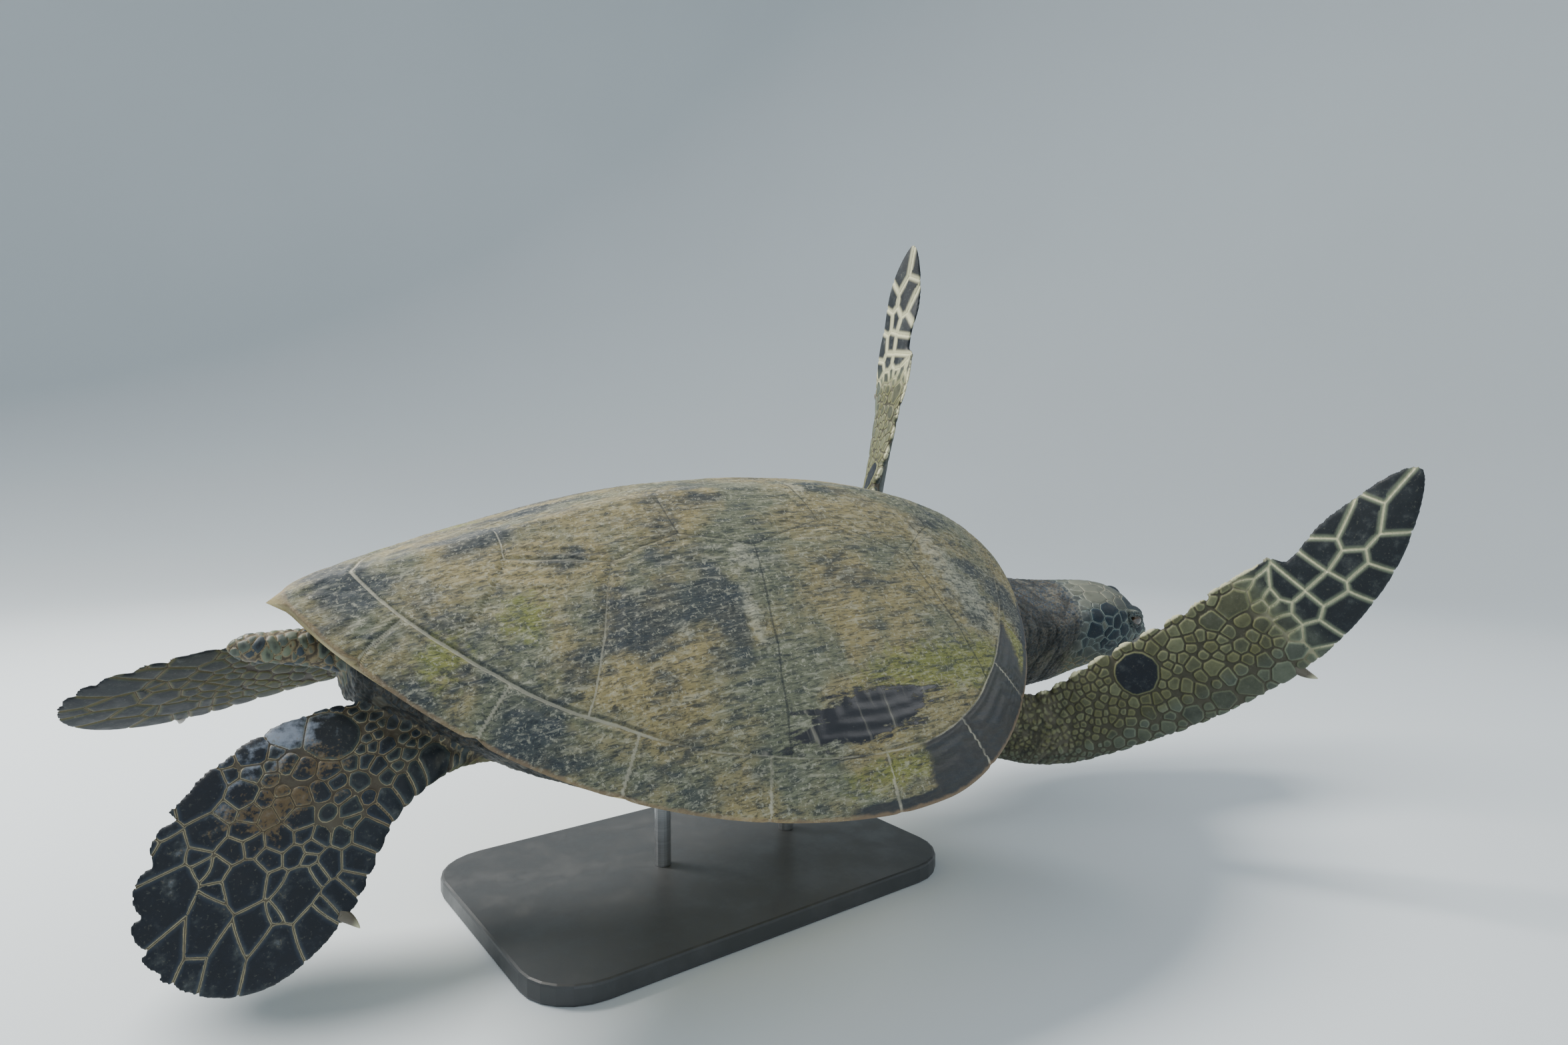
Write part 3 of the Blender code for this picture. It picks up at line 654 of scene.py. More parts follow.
def stations(count, low=-0.5, high=0.5):
    """Places along the body, closer together towards both ends, which are left out."""
    steps = np.sin(math.pi / 2 * (2 * np.arange(1, count + 1) / (count + 1) - 1))
    return mix(low, high, (steps + 1) / 2)


def plastron_lobe(x):
    front = (1 - np.clip(x / PLASTRON_FRONT, 0, 1) ** 3.4) ** 0.5
    rear = (1 - np.clip(x / PLASTRON_REAR, 0, 1) ** 2.0) ** 0.8
    return PLASTRON_LOBE * np.where(x > 0, front, rear)


def bridge(x):
    return ease((0.24 - x) / 0.15) * ease((x + 0.24) / 0.15)


def belly_height(x):
    front = 0.018 * np.clip((x - 0.2) / 0.2, 0, 1) ** 2
    rear = 0.062 * np.clip((-0.09 - x) / 0.28, 0, 1) ** 1.6
    return BELLY + front + rear


def head_frame():
    """The head's frame in metres of the body's frame."""
    turn = Matrix.Rotation(HEAD_YAW, 4, "Z") @ Matrix.Rotation(HEAD_PITCH, 4, "Y")
    return Matrix.Translation(Vector(HEAD_PLACE) * SHELL) @ turn


def head_points(shares, angles):
    """Places on the head's plain form, in metres of its frame."""
    half = spline(HEAD_HALF, shares)
    cos, sin = np.cos(angles), np.sin(angles)
    across = np.sign(cos) * np.abs(cos) ** 0.85
    rise = np.sign(sin) * np.abs(sin) ** 0.9
    height = np.where(rise > 0, spline(HEAD_TOP, shares), -spline(HEAD_BOTTOM, shares))
    blunt = np.sqrt(1 - np.clip((shares - SNOUT_ROUND) / (1.0005 - SNOUT_ROUND), 0, 1) ** 2)
    height = mix(SNOUT_HEIGHT, height * rise, blunt)
    points = np.stack([shares * HEAD_LENGTH + 0 * angles, half * across * blunt, height], -1)
    return points * SHELL


def eye_centre(side):
    """The middle of an eyeball, in metres of the head's frame."""
    return np.array((EYE_PLACE[0], EYE_PLACE[1] * side, EYE_PLACE[2])) * SHELL


def moved(points, frame):
    """Points of a frame as places in the frame that holds it."""
    matrix = np.array(frame)
    return points @ matrix[:3, :3].T + matrix[:3, 3]


def measure(ends, start, change, tip, power, fullness):
    """A flipper's measure: it changes between its ends over part of the run and closes at the tip."""

    def at(share):
        closed = np.clip((share - tip) / (1 - tip), 0, 1)
        return mix(*ends, ease((share - start) / change)) * (1 - closed**power) ** fullness

    return at


front_width = measure(FRONT_WIDTHS, 0.0, 0.45, 0.62, 1.25, 0.6)
front_thickness = measure(FRONT_THICKNESS, 0.0, 0.75, 0.6, 3, 0.5)
hind_width = measure(HIND_WIDTHS, 0.1, 0.65, 0.62, 3.0, 0.5)
hind_thickness = measure(HIND_THICKNESS, 0.0, 0.7, 0.6, 4, 0.5)


def lobes(share, cusps, sharpness=0.5):
    """1 at each cusp, falling to 0 over the round lobe between two."""
    phase = np.interp(share, cusps, np.arange(len(cusps)))
    inside = (share > cusps[0]) & (share < cusps[-1])
    return np.where(inside, 1 - np.abs(np.sin(math.pi * phase)) ** sharpness, 0.0)


def front_fringe(share):
    """How far the front flipper's trailing edge is cut in, as a share of its half width."""
    torn = knots(
        ((0.60, 0.0), (0.70, 0.0), (0.708, 0.05), (0.712, 0.0), (0.726, 0.05), (0.73, 0.0), (0.742, 0.0),
         (0.752, 0.30), (0.775, 0.26), (0.80, 0.17), (0.83, 0.06), (0.86, 0.0)),
        share,
    )
    small = 0.12 * lobes(share, (0.20, 0.25, 0.30, 0.345, 0.395, 0.45, 0.505, 0.56, 0.61), 0.8)
    return torn + small + 0.012 * lobes(share, np.linspace(0.23, 0.60, 26), 0.8)


def front_lead_notch(share):
    return 0.02 * lobes(share, (0.31, 0.355, 0.39, 0.42, 0.455, 0.49, 0.53, 0.56, 0.59, 0.64, 0.67), 0.6)


def hind_fringe(share):
    toes = 0.15 * lobes(share, (0.70, 0.775, 0.85, 0.91, 0.955, 0.98), 0.5)
    return toes + 0.03 * lobes(share, (0.35, 0.46, 0.52, 0.59, 0.66, 0.72), 0.6)


def hind_lead_notch(share):
    places = (0.25, 0.295, 0.34, 0.39, 0.44, 0.485, 0.565, 0.64, 0.70, 0.75, 0.80)
    return 0.035 * lobes(share, places, 0.6)


def bone(length, heading, rise):
    """A straight run of a limb, turned outwards by its heading and lifted by its rise."""
    turn = math.radians(heading)
    lift = math.radians(rise)
    flat = length * math.cos(lift)
    return np.array((flat * math.cos(turn), -flat * math.sin(turn), length * math.sin(lift)))


def limb_path(carriage):
    """The middle line of a limb: a straight arm, then a blade that sweeps round by even steps."""
    points = [np.array(carriage.root)]
    points.append(points[0] + bone(carriage.arm, carriage.headings[0], carriage.rises[0]))
    for i in range(carriage.steps):
        share = i / (carriage.steps - 1)
        heading = mix(carriage.headings[1], carriage.headings[2], share)
        rise = mix(carriage.rises[1], carriage.rises[2], share)
        points.append(points[-1] + bone(carriage.blade / carriage.steps, heading, rise))
    return np.array(points)


class Limb:
    """One flipper: a run of leaning sections, in metres of the body's frame."""

    def __init__(self, carriage, width, thickness, fringe, notch):
        self.path = limb_path(carriage)
        self.facing = np.array(carriage.facing)
        self.width = lambda share: carriage.spread * width(share)
        self.thickness = thickness
        self.fringe = fringe
        self.notch = notch
        self.side = carriage.side
        run = np.linspace(0, 1, 241)
        centres = self.sections(run)[0]
        steps = np.linalg.norm(np.diff(centres, axis=0), axis=1)
        self.run = (run, run_of(steps))

    def sections(self, shares):
        """(centres, ahead, leads, ups) at shares of the run."""
        ahead = unit(spline(self.path, shares + 0.01) - spline(self.path, shares - 0.01))
        facing = mix(self.facing[0], self.facing[1], np.asarray(shares)[:, None])
        lead = unit(facing - ahead * (ahead * facing).sum(-1, keepdims=True))
        up = np.cross(ahead, lead)
        mirror = np.array((1, self.side, 1))
        return spline(self.path, shares) * SHELL * mirror, ahead * mirror, lead * mirror, up * mirror

    def solid(self, rows=170, around=72, slim=0.992):
        """The flipper's closed form, its edges cut into lobes."""
        shares = 1 - (1 - np.linspace(0, 1, rows, endpoint=False)) ** 1.35
        shares = np.minimum(shares, 0.9975)
        centre, _, lead, up = self.sections(shares)
        angles = angles_round(around)
        cos, sin = np.cos(angles), np.sin(angles)
        across = np.sign(cos) * np.abs(cos) ** 0.92
        back = np.clip(-across, 0, 1)[None] ** 2 * self.fringe(shares)[:, None]
        fore = np.clip(across, 0, 1)[None] ** 3 * self.notch(shares)[:, None]
        reach = across[None] * (1 - back - fore) * self.width(shares)[:, None] / 2 * SHELL * slim
        fullness = 0.45 + 0.55 * (cos + 1) / 2
        thick = np.maximum(self.thickness(shares), 0.0045)[:, None] / 2 * SHELL * slim
        rise = (sin * fullness)[None] * thick
        rings = centre[:, None] + lead[:, None] * reach[..., None] + up[:, None] * rise[..., None]
        return tube(rings, None, rings[-1].mean(0))

    def locate(self, points):
        """Where points near the flipper lie on it, and their places flattened onto its middle."""
        shares = np.linspace(0, 1, 121)
        centre, ahead, lead, up = self.sections(shares)
        normal = unit(ahead - lead * (ahead * lead).sum(-1, keepdims=True))
        beyond = points @ normal.T - (centre * normal).sum(-1)
        sideways = np.abs(points @ lead.T - (centre * lead).sum(-1))
        above = np.abs(points @ up.T - (centre * up).sum(-1))
        half = self.width(shares) / 2 * SHELL
        cost = np.abs(beyond) + 4 * np.maximum(0, sideways - half * 1.2) + 2 * np.maximum(0, above - 0.05)
        best = cost.argmin(1)
        rows = np.arange(len(points))
        here = beyond[rows, best]
        other = np.clip(best + np.sign(here).astype(int), 0, len(shares) - 1)
        there = beyond[rows, other]
        gap = here - there
        part = np.where(np.abs(gap) > 1e-9, here / np.where(gap == 0, 1, gap), 0)
        share = mix(shares[best], shares[other], np.clip(part, 0, 1))
        centre, ahead, lead, up = self.sections(share)
        offset = points - centre
        rise = (offset * up).sum(-1)
        across = (offset * lead).sum(-1)
        run = np.interp(share, *self.run) + np.where(share > 0.999, (offset * ahead).sum(-1), 0)
        reach = np.maximum(self.width(share) / 2 * SHELL, 0.004)
        flat = points - up * rise[:, None]
        return {
            "share": share, "across": across / reach, "side": across,
            "rise": rise, "run": run, "flat": flat,
        }


def limbs():
    front = (front_width, front_thickness, front_fringe, front_lead_notch)
    rear = (hind_width, hind_thickness, hind_fringe, hind_lead_notch)
    return {
        name: Limb(carriage, *(front if name.startswith("front") else rear))
        for name, carriage in CARRIAGES.items()
    }


def neck_and_head():
    """The neck from inside the shell, and the head on its end, as one closed form."""
    frame = head_frame()
    angles = angles_round(160)
    base = head_points(np.zeros(len(angles)), angles)
    rings = []
    for share in np.linspace(0, 0.94, 48):
        centre = spline(NECK_PATH, share) * SHELL
        yaw = HEAD_YAW * ease((share - 0.25) / 0.75)
        girth = mix(1.08, 1.12, ease(share / 0.4)) - 0.08 * ease((share - 0.6) / 0.4)
        settle = ease((share - 0.6) / 0.4)
        tall = np.where(base[:, 2] < 0, girth, mix(NAPE, 0.97, settle))
        ring = np.stack([0 * angles, base[:, 1] * mix(girth, 1.0, settle), base[:, 2] * tall], -1)
        turn = np.array(Matrix.Rotation(yaw, 3, "Z"))
        rings.append(centre + ring @ turn.T)
    for share in 1 - (1 - np.linspace(0.0, 0.999, 100)) ** 1.4:
        rings.append(moved(head_points(np.full(len(angles), share), angles), frame))
    snout = moved(np.array([[HEAD_LENGTH * 1.002, 0, -0.017]]) * SHELL, frame)[0]
    return tube(np.array(rings), None, snout)


def trunk_part(low, high, rows=40, around=80):
    """The flesh inside one end of the shell."""
    x = np.linspace(low, high, rows)
    width = 0.9 * half_width(x) - 0.024
    side = rim_height(x) - 0.025
    top = rim_height(x) + dome_height(x) - 0.013
    end = np.where(x > 0, FLANK_FRONT, FLANK_REAR)
    low_edge = mix(belly_height(x) + 0.01, end, ease((np.abs(x) - 0.3) / 0.16))
    angles = angles_round(around)
    v = np.cos(angles)
    above = np.sin(angles) >= 0
    upper = side[:, None] + (top - side)[:, None] * roof(v)
    lower = low_edge[:, None] + (side - low_edge)[:, None] * np.abs(v) ** 2.8
    return tube(rings_of(x, width[:, None] * v, np.where(above, upper, lower)) * SHELL)


def core_part():
    """A slim stem through the middle of the body, which nothing shows."""
    angles = angles_round(24)
    x = np.linspace(-0.32, 0.32, 12)
    radius, lift = 0.03, 0.01
    return tube(rings_of(x, radius * np.cos(angles), radius * np.sin(angles) + lift) * SHELL)


def tail_part():
    shares = np.linspace(0, 0.985, 60)
    angles = angles_round(48)
    radius = mix(*TAIL_RADII, shares) * np.sqrt(np.clip((1 - shares) / 0.08, 0, 1))
    centre = spline(TAIL_PATH, shares)
    rings = np.repeat(centre[:, None], len(angles), 1)
    rings[..., 1] += radius[:, None] * 1.12 * np.cos(angles)
    rings[..., 2] += radius[:, None] * 0.97 * np.sin(angles)
    return tube(rings * SHELL, None, np.array(TAIL_PATH[-1]) * SHELL)


def lid_ball(side):
    """The round of the closed lids over one eyeball."""
    mesh = bpy.data.meshes.new("lid_ball")
    form = bmesh.new()
    bmesh.ops.create_icosphere(form, subdivisions=4, radius=EYE_RADIUS * SHELL + sizes().lid_wall)
    form.to_mesh(mesh)
    form.free()
    points = points_of(mesh) + eye_centre(side)
    corners = corners_of(mesh).reshape(-1, 3)
    bpy.data.meshes.remove(mesh)
    return moved(points, head_frame()), np.zeros((0, 4), int), corners


class Neighbours:
    """The edges of a mesh, for averages over each point's neighbours."""

    def __init__(self, mesh):
        ends = read(mesh.edges, "vertices", width=2).reshape(-1, 2)
        self.one = np.concatenate([ends[:, 0], ends[:, 1]])
        self.two = np.concatenate([ends[:, 1], ends[:, 0]])
        self.count = len(mesh.vertices)
        self.degree = np.maximum(np.bincount(self.one, minlength=self.count), 1)

    def mean(self, values):
        return np.bincount(self.one, values[self.two], self.count) / self.degree

    def smooth(self, points, weight, rounds):
        for _ in range(rounds):
            means = np.stack([self.mean(points[:, axis]) for axis in range(3)], -1)
            points = points + (means - points) * weight[:, None]
        return points


def borders(places, seeds, reach, stretch, axis):
    """Which scale each place lies in, how far it is from its border, and the way to the border.

    The borders are the straight ones between circles of those reaches, drawn out by each
    scale's stretch along its axis.
    """
    count = len(places)
    own = np.empty(count, int)
    other = np.empty(count, int)
    rows_at_once = max(1000, int(4e6 / max(len(seeds), 1)))
    squeeze = 1 / stretch**2 - 1
    for start in range(0, count, rows_at_once):
        q = places[start : start + rows_at_once]
        square = (q**2).sum(1)[:, None] + (seeds**2).sum(1) - 2 * q @ seeds.T
        lean = q @ axis.T - (seeds * axis).sum(1)
        apart = square + squeeze * lean**2 - reach**2
        rows = np.arange(len(q))
        first = apart.argmin(1)
        apart[rows, first] = 1e9
        own[start : start + rows_at_once] = first
        other[start : start + rows_at_once] = apart.argmin(1)

    def distance(choice):
        offset = places - seeds[choice]
        along = axis[choice]
        lean = (offset * along).sum(1, keepdims=True)
        bent = offset + along * (lean * squeeze[choice][:, None])
        return np.maximum((offset * bent).sum(1), 1e-12), bent

    square_one, bent_one = distance(own)
    square_two, bent_two = distance(other)
    pull = 2 * (bent_two - bent_one)
    strength = np.maximum((pull**2).sum(1), 1e-8)
    gap = (square_two - reach[other] ** 2) - (square_one - reach[own] ** 2)
    far = np.sqrt(square_one)
    return {
        "own": own,
        "border": gap / np.sqrt(strength),
        "shift": -pull * (gap / strength)[:, None],
        "far": far,
        "deep": np.clip(1 - far / np.maximum(reach[own], 1e-6), 0, 1),
    }


def scattered(limb, named, small_reach, low, high, tries, seed):
    """Seeds over a flipper: the placed scales first, and then smaller ones wherever there is room."""
    random = np.random.default_rng(seed)
    placed = np.array(named).T
    share = np.append(placed[0], random.uniform(low, high, tries))
    across = np.append(placed[1], random.uniform(-1.0, 1.0, tries))
    centre, ahead, lead, _ = limb.sections(share)
    places = centre + lead * (across * limb.width(share) / 2 * SHELL)[:, None]
    reach = np.append(placed[2] * 0.001, small_reach(share[len(named) :], random.random(tries)))
    stretch = np.append(placed[3], random.uniform(0.85, 1.2, tries))
    dark = np.append(placed[4], random.uniform(0.0, 0.6, tries))
    kept = list(range(len(named)))
    for i in range(len(named), len(share)):
        gaps = np.linalg.norm(places[kept] - places[i], axis=1) - reach[kept] * 0.95
        if gaps.min() > reach[i] * 0.9:
            kept.append(i)
    return places[kept], reach[kept], stretch[kept], unit(ahead[kept]), dark[kept]


def front_small_reach(share, luck):
    return mix(0.0030, 0.0066, step(share, 0.22, 0.45)) * mix(0.65, 1.3, luck)


def hind_small_reach(share, luck):
    return mix(0.0038, 0.0058, step(share, 0.25, 0.5)) * mix(0.7, 1.2, luck)


def head_seeds():
    """Seeds of the head's scales in its frame, with twins on the left side."""
    places, reach, stretch, dark = [], [], [], []
    twins = []
    for share, angle, *rest in HEAD_SCALES:
        twins += [(share, 180 - angle, *rest), (share, angle, *rest)]
    for share, angle, size, long, tone in (*twins, *CROWN_SCALES):
        places.append(head_points(np.array(share), np.array(math.radians(angle))))
        reach.append(size * 0.001)
        stretch.append(long)
        dark.append(tone)
    random = np.random.default_rng(11)
    for _ in range(2600):
        share = random.uniform(0.05, 0.98)
        angle = random.uniform(-math.pi, math.pi)
        place = head_points(np.array(share), np.array(angle))
        size = random.uniform(0.0028, 0.0048)
        gaps = np.linalg.norm(np.array(places) - place, axis=1) - np.array(reach) * 0.95
        if gaps.min() > size * 0.9:
            places.append(place)
            reach.append(size)
            stretch.append(1.0)
            dark.append(random.uniform(0.35, 0.9))
    axis = np.tile((1.0, 0.0, 0.0), (len(places), 1))
    return np.array(places), np.array(reach), np.array(stretch), axis, np.array(dark)


SKIN_NODES = (
    "head", "jaw", "neck", "trunk", "tail",
    "front_flipper_left", "front_flipper_right", "hind_flipper_left", "hind_flipper_right",
)


def even_skin(forms):
    """One closed mesh of even small faces round all the forms, and which form each point is on."""
    points, quads, triangles, owner = [], [], [], []
    total = 0
    for i, (_, (form_points, form_quads, form_triangles)) in enumerate(forms):
        points.append(form_points)
        quads.append(np.asarray(form_quads).reshape(-1, 4) + total)
        triangles.append(np.asarray(form_triangles).reshape(-1, 3) + total)
        owner.append(np.full(len(form_points), i))
        total += len(form_points)
    points = np.vstack(points)
    owner = np.concatenate(owner)
    mesh = mesh_from("skin_forms", points, np.vstack(quads), np.vstack(triangles))
    rough_piece = bpy.data.objects.new("skin_forms", mesh)
    bpy.context.scene.collection.objects.link(rough_piece)
    remesh = rough_piece.modifiers.new("even", "REMESH")
    remesh.mode = "VOXEL"
    remesh.voxel_size = sizes().skin_detail
    graph = bpy.context.evaluated_depsgraph_get()
    even = bpy.data.meshes.new_from_object(rough_piece.evaluated_get(graph))
    bpy.data.objects.remove(rough_piece)
    tree = kdtree.KDTree(len(points))
    for i, point in enumerate(points):
        tree.insert(point, i)
    tree.balance()
    nearest = np.fromiter((tree.find(v.co)[1] for v in even.vertices), int, len(even.vertices))
    return even, owner[nearest]


def cells(points, size, seed=0):
    """Cells of a random net: (distance to the border, a random number for each cell)."""
    points = points / size
    base = np.floor(points).astype(np.int64)
    near = np.full(len(points), 9.0)
    next_near = np.full(len(points), 9.0)
    luck = np.zeros(len(points))
    for corner in itertools.product((-1, 0, 1), repeat=3):
        place = base + np.array(corner)
        code = luck_of(place, seed)
        spots = []
        for _ in range(3):
            code = ((code ^ (code >> 13)) * 1274126177 + 101) & 0xFFFFFFFF
            spots.append((code & 0xFFFF) / 65536.0)
        far = np.linalg.norm(place + np.stack(spots, -1) - points, axis=1)
        closer = far < near
        next_near = np.where(closer, near, np.minimum(next_near, far))
        luck = np.where(closer, spots[0], luck)
        near = np.minimum(near, far)
    return (next_near - near) * size * 0.6, luck


def tinted(one, two, share):
    """Colours between two, for each share."""
    one, two = tone_array(one), tone_array(two)
    return one[None] + (two - one)[None] * share[:, None]


def over(under, top, share):
    return under + (top - under) * share[:, None]


def flipper_surface(limb, points, seeds, front, left):
    """Scale borders, paints and relief of the points on one flipper, with painted light on the left front
    flipper and painted shade on the hind flippers' undersides.
    """
    found = limb.locate(points)
    share, across, rise = found["share"], found["across"], found["rise"]
    places, reach, stretch, axis, dark = seeds
    net = borders(found["flat"], places, reach, stretch, axis)
    own = net["own"]
    luck = np.random.default_rng(5).random(len(places))[own]
    blade = step(share, 0.64, 0.72) if front else step(share, 0.52, 0.66)
    spot = dark[own] > 1.2
    ring = reach[own] * np.where(spot, 1.05, 1.45) - net["far"]
    edge = np.where(blade < 0.5, np.minimum(net["border"] - 0.0003, ring), net["border"])
    back = step(rise * 1000, -0.6, 0.6)
    lead_row = step(across, 0.25, 0.55)
    grown = np.clip(dark[own], 0, 1)
    if front:
        paleness = np.clip(0.7 * lead_row + 0.4 * luck, 0, 1)
        scale = tinted("olive_scale", "grey_scale", paleness) * mix(0.8, 1.15, luck)[:, None]
        scale = over(scale, tone_array("grey_scale") * 1.15, blade)
        seam = tinted("dark_seam", tone_array("cream_seam") * 0.9, blade)
        cream = np.clip(blade + 0.25 * lead_row, 0, 1)
        trim = tinted(tone_array("olive_scale") * 1.15, tone_array("cream_seam") * 0.85, cream)
        # Painted light: on the left front flipper the pale trim is widened and the dark cores start
        # further in, so its face is painted paler, as if brightly lit.
        trim_width = mix(0.6, 0.62, blade) + (1.6 * blade + 0.5 if left else 0)
        core = np.maximum(mix(0.35, 0.8, grown), blade * 0.97)
        core = np.where(spot, 1.0, core)
        core_start = mix(1.0, 0.8, blade) + (1.6 * (1 - luck) if left else 0)
        soft = blade
        seam_width = mix(2.6, 0.7, blade)
        top_scale = tinted("slate_scale", "grey_scale", (1 - blade) * 0.5)
        top_core = np.clip(0.6 + 0.4 * blade, 0, 1)
    else:
        # Painted shade: on the underside of a hind flipper the olive and grey scales and the tan trim are
        # darkened copies, and the dark cores are strong.
        scale = tinted("olive_scale", "grey_scale", luck) * mix(0.6, 0.4, blade)[:, None]
        seam = np.tile(tone_array("dark_seam"), (len(points), 1))
        trim = np.tile(tone_array("tan_seam") * 0.5, (len(points), 1))
        trim_width = mix(0.6, 0.8, blade)
        core = np.clip(0.75 + 0.25 * blade, 0, 0.97) * mix(0.8, 1.0, grown)
        soft = 0.3 * blade
        seam_width = np.ones(len(points))
        core_start = np.full(len(points), 1.1)
        top_scale = tinted("slate_scale", "grey_scale", 0.4 * luck * (1 - blade)) * 0.8
        top_core = mix(0.9, 1.0, blade)
    top_trim = tinted("tan_seam", "cream_seam", 0.25 * blade + 0.25 * luck)
    scale = over(scale, top_scale, back)
    trim = over(trim, top_trim, back)
    core = mix(core, top_core, back)
    core_start = mix(core_start, 0.9, back)
    trim_width = mix(trim_width, 0.62, back)
    worn = back * (not front and not left)
    bleached = bump(share, 0.53, 0.15) * bump(across, -0.95, 0.5) * worn * mix(0.4, 1.0, luck)
    stain = bump(share, 0.58, 0.17) * bump(across, -0.25, 0.45) * worn
    fringe = (1 - step(across, -0.97, -0.88)) * step(share, 0.18, 0.24) * front
    fringe = fringe * (1 - step(share, 0.7, 0.78))
    fold = (1 - step(share, 0.16, 0.42)) * 0.8
    small, _ = cells(found["flat"], 0.0062, 4)
    near_body = 1 - step(share, 0.17, 0.30)
    edge = mix(edge, small, near_body)
    return {
        "edge": edge, "shift": net["shift"], "border": np.where(near_body > 0.01, 0.02, net["border"]),
        "scale": scale, "seam": seam, "trim": trim, "trim_width": trim_width, "core": core,
        "core_start": core_start, "soft": soft, "seam_width": seam_width, "fold": fold,
        "stain": stain, "fringe": fringe, "bleached": bleached,
    }


def eye_axes(side):
    """The eyeball's outward, forward and upward directions in the head's frame."""
    out = np.array((0.16, 0.95 * side, 0.20))
    out = out / np.linalg.norm(out)
    ahead = np.array((1.0, 0.0, -0.22))
    ahead = ahead - out * (ahead @ out)
    ahead = ahead / np.linalg.norm(ahead)
    rise = np.cross(out, ahead) * -side
    return out, ahead, rise * np.sign(rise[2])


def form_lids(points, side):
    """Draws the lids round the eyeball and opens them, in the head's frame."""
    centre = eye_centre(side)
    radius = EYE_RADIUS * SHELL
    out, ahead, rise = eye_axes(side)
    offset = points - centre
    far = np.linalg.norm(offset, axis=1)
    near = (far < radius + 0.006) & (offset @ out > 0.1 * radius)
    chosen = np.nonzero(near)[0]
    way = offset[chosen] / far[chosen][:, None]
    turn = np.degrees(np.arctan2(way @ ahead, way @ out))
    lift = np.degrees(np.arctan2(way @ rise, way @ out)) - 1
    wide = np.where(turn > 0, LID_WIDTHS[1], LID_WIDTHS[0])
    tall = np.where(lift > 0, LID_HEIGHTS[1], LID_HEIGHTS[0])
    square = (np.abs(turn) / wide) ** LID_ROUND + (np.abs(lift) / tall) ** LID_ROUND
    level = (square ** (1 / LID_ROUND) - 1) * 20
    open_share = 1 - step(level, -1.2, 2.2)
    lid = radius + sizes().lid_wall
    shape = lid + 0.0005 * bump(level, 5, 3.0)
    upper = step(lift, -4, 8)
    shape -= 0.0011 * bump(level, 14, 2.0) * mix(0.6, 1.0, upper)
    shape -= 0.0008 * bump(level, 22, 2.2) * upper
    shape += 0.0004 * upper * bump(level, 18, 3.0)
    target = mix(shape, radius - 0.0016, open_share)
    hold = step(way @ out, 0.22, 0.42)
    points[chosen] = centre + way * mix(far[chosen], target, hold)[:, None]
    closeness = np.zeros(len(points))
    closeness[chosen] = hold * (1 - step(level, 24, 40))
    rim = np.zeros(len(points))
    rim[chosen] = bump(level, 3.0, 2.6) * hold
    return points, closeness, rim


def head_surface(points):
    """Scale borders, paints and relief of the points on the head and neck, in the head's frame."""
    places, reach, stretch, axis, dark = head_seeds()
    net = borders(points, places, reach, stretch, axis)
    own = net["own"]
    luck = np.random.default_rng(6).random(len(places))[own]
    share = points[:, 0] / (HEAD_LENGTH * SHELL)
    height = points[:, 2] / SHELL
    scaled = step(share, 0.12, 0.22)
    # Painted light: on the crown, the top of the head, the seams are a lighter copy and the trim turns
    # towards tan, as lit from above.
    crown = step(height, 0.034, 0.054)
    throat = 1 - step(height, -0.06, -0.02)
    nape = step(height, 0.005, 0.03)
    dark_here = np.clip(dark[own], 0, 1)
    scale = tinted("crown_scale", "head_scale", dark_here) * mix(0.8, 1.2, luck)[:, None]
    scale = over(scale, tone_array("grey_scale") * 0.8, throat * 0.8)
    seam = tinted("dark_seam", tone_array("dark_seam") * 1.3, crown)
    trim = tinted("head_seam", "tan_seam", np.clip(crown * 0.5 + throat, 0, 1))
    small, small_luck = cells(points, 0.0058, 9)
    neck = tinted("neck_skin", "slate_scale", nape * small_luck)
    olive = step(rough(points * 26, 3, 8), 0.1, 0.6) * (1 - nape)
    neck = over(neck, tone_array("olive_scale") * 0.55, 0.55 * olive)
    scale = over(neck, scale, scaled)
    trim = over(np.tile(tone_array("neck_wrinkle") * 0.8, (len(points), 1)), trim, scaled)
    edge = mix(small, net["border"], scaled)
    return {
        "edge": edge, "shift": net["shift"], "border": np.where(scaled > 0.99, net["border"], 0.02),
        "scale": scale, "seam": seam, "trim": trim, "trim_width": mix(0.5, 0.9, scaled),
        "core": 0.55 * scaled * dark_here, "core_start": mix(1.0, 2.2, scaled),
        "fold": 1 - step(share, 0.06, 0.24),
    }


def wrinkles(points, across_first):
    """Fine loose folds that run round a neck or a limb: 1 in the bottom of a fold."""
    warp = np.stack([rough(points * 22, 2, seed) for seed in (21, 22, 23)], -1)
    bent = points + warp * 0.006
    coarse = np.abs(grain(bent * np.array((95, 30, 30)), 31))
    fine = np.abs(grain(bent * np.array((210, 70, 70)), 32))
    slack = np.abs(grain(bent * np.array((46, 110, 60)), 33))
    return (
        0.62 * (1 - step(coarse, 0.0, 0.30))
        + 0.30 * (1 - step(fine, 0.0, 0.34))
        + 0.22 * across_first * (1 - step(slack, 0.0, 0.22))
    )


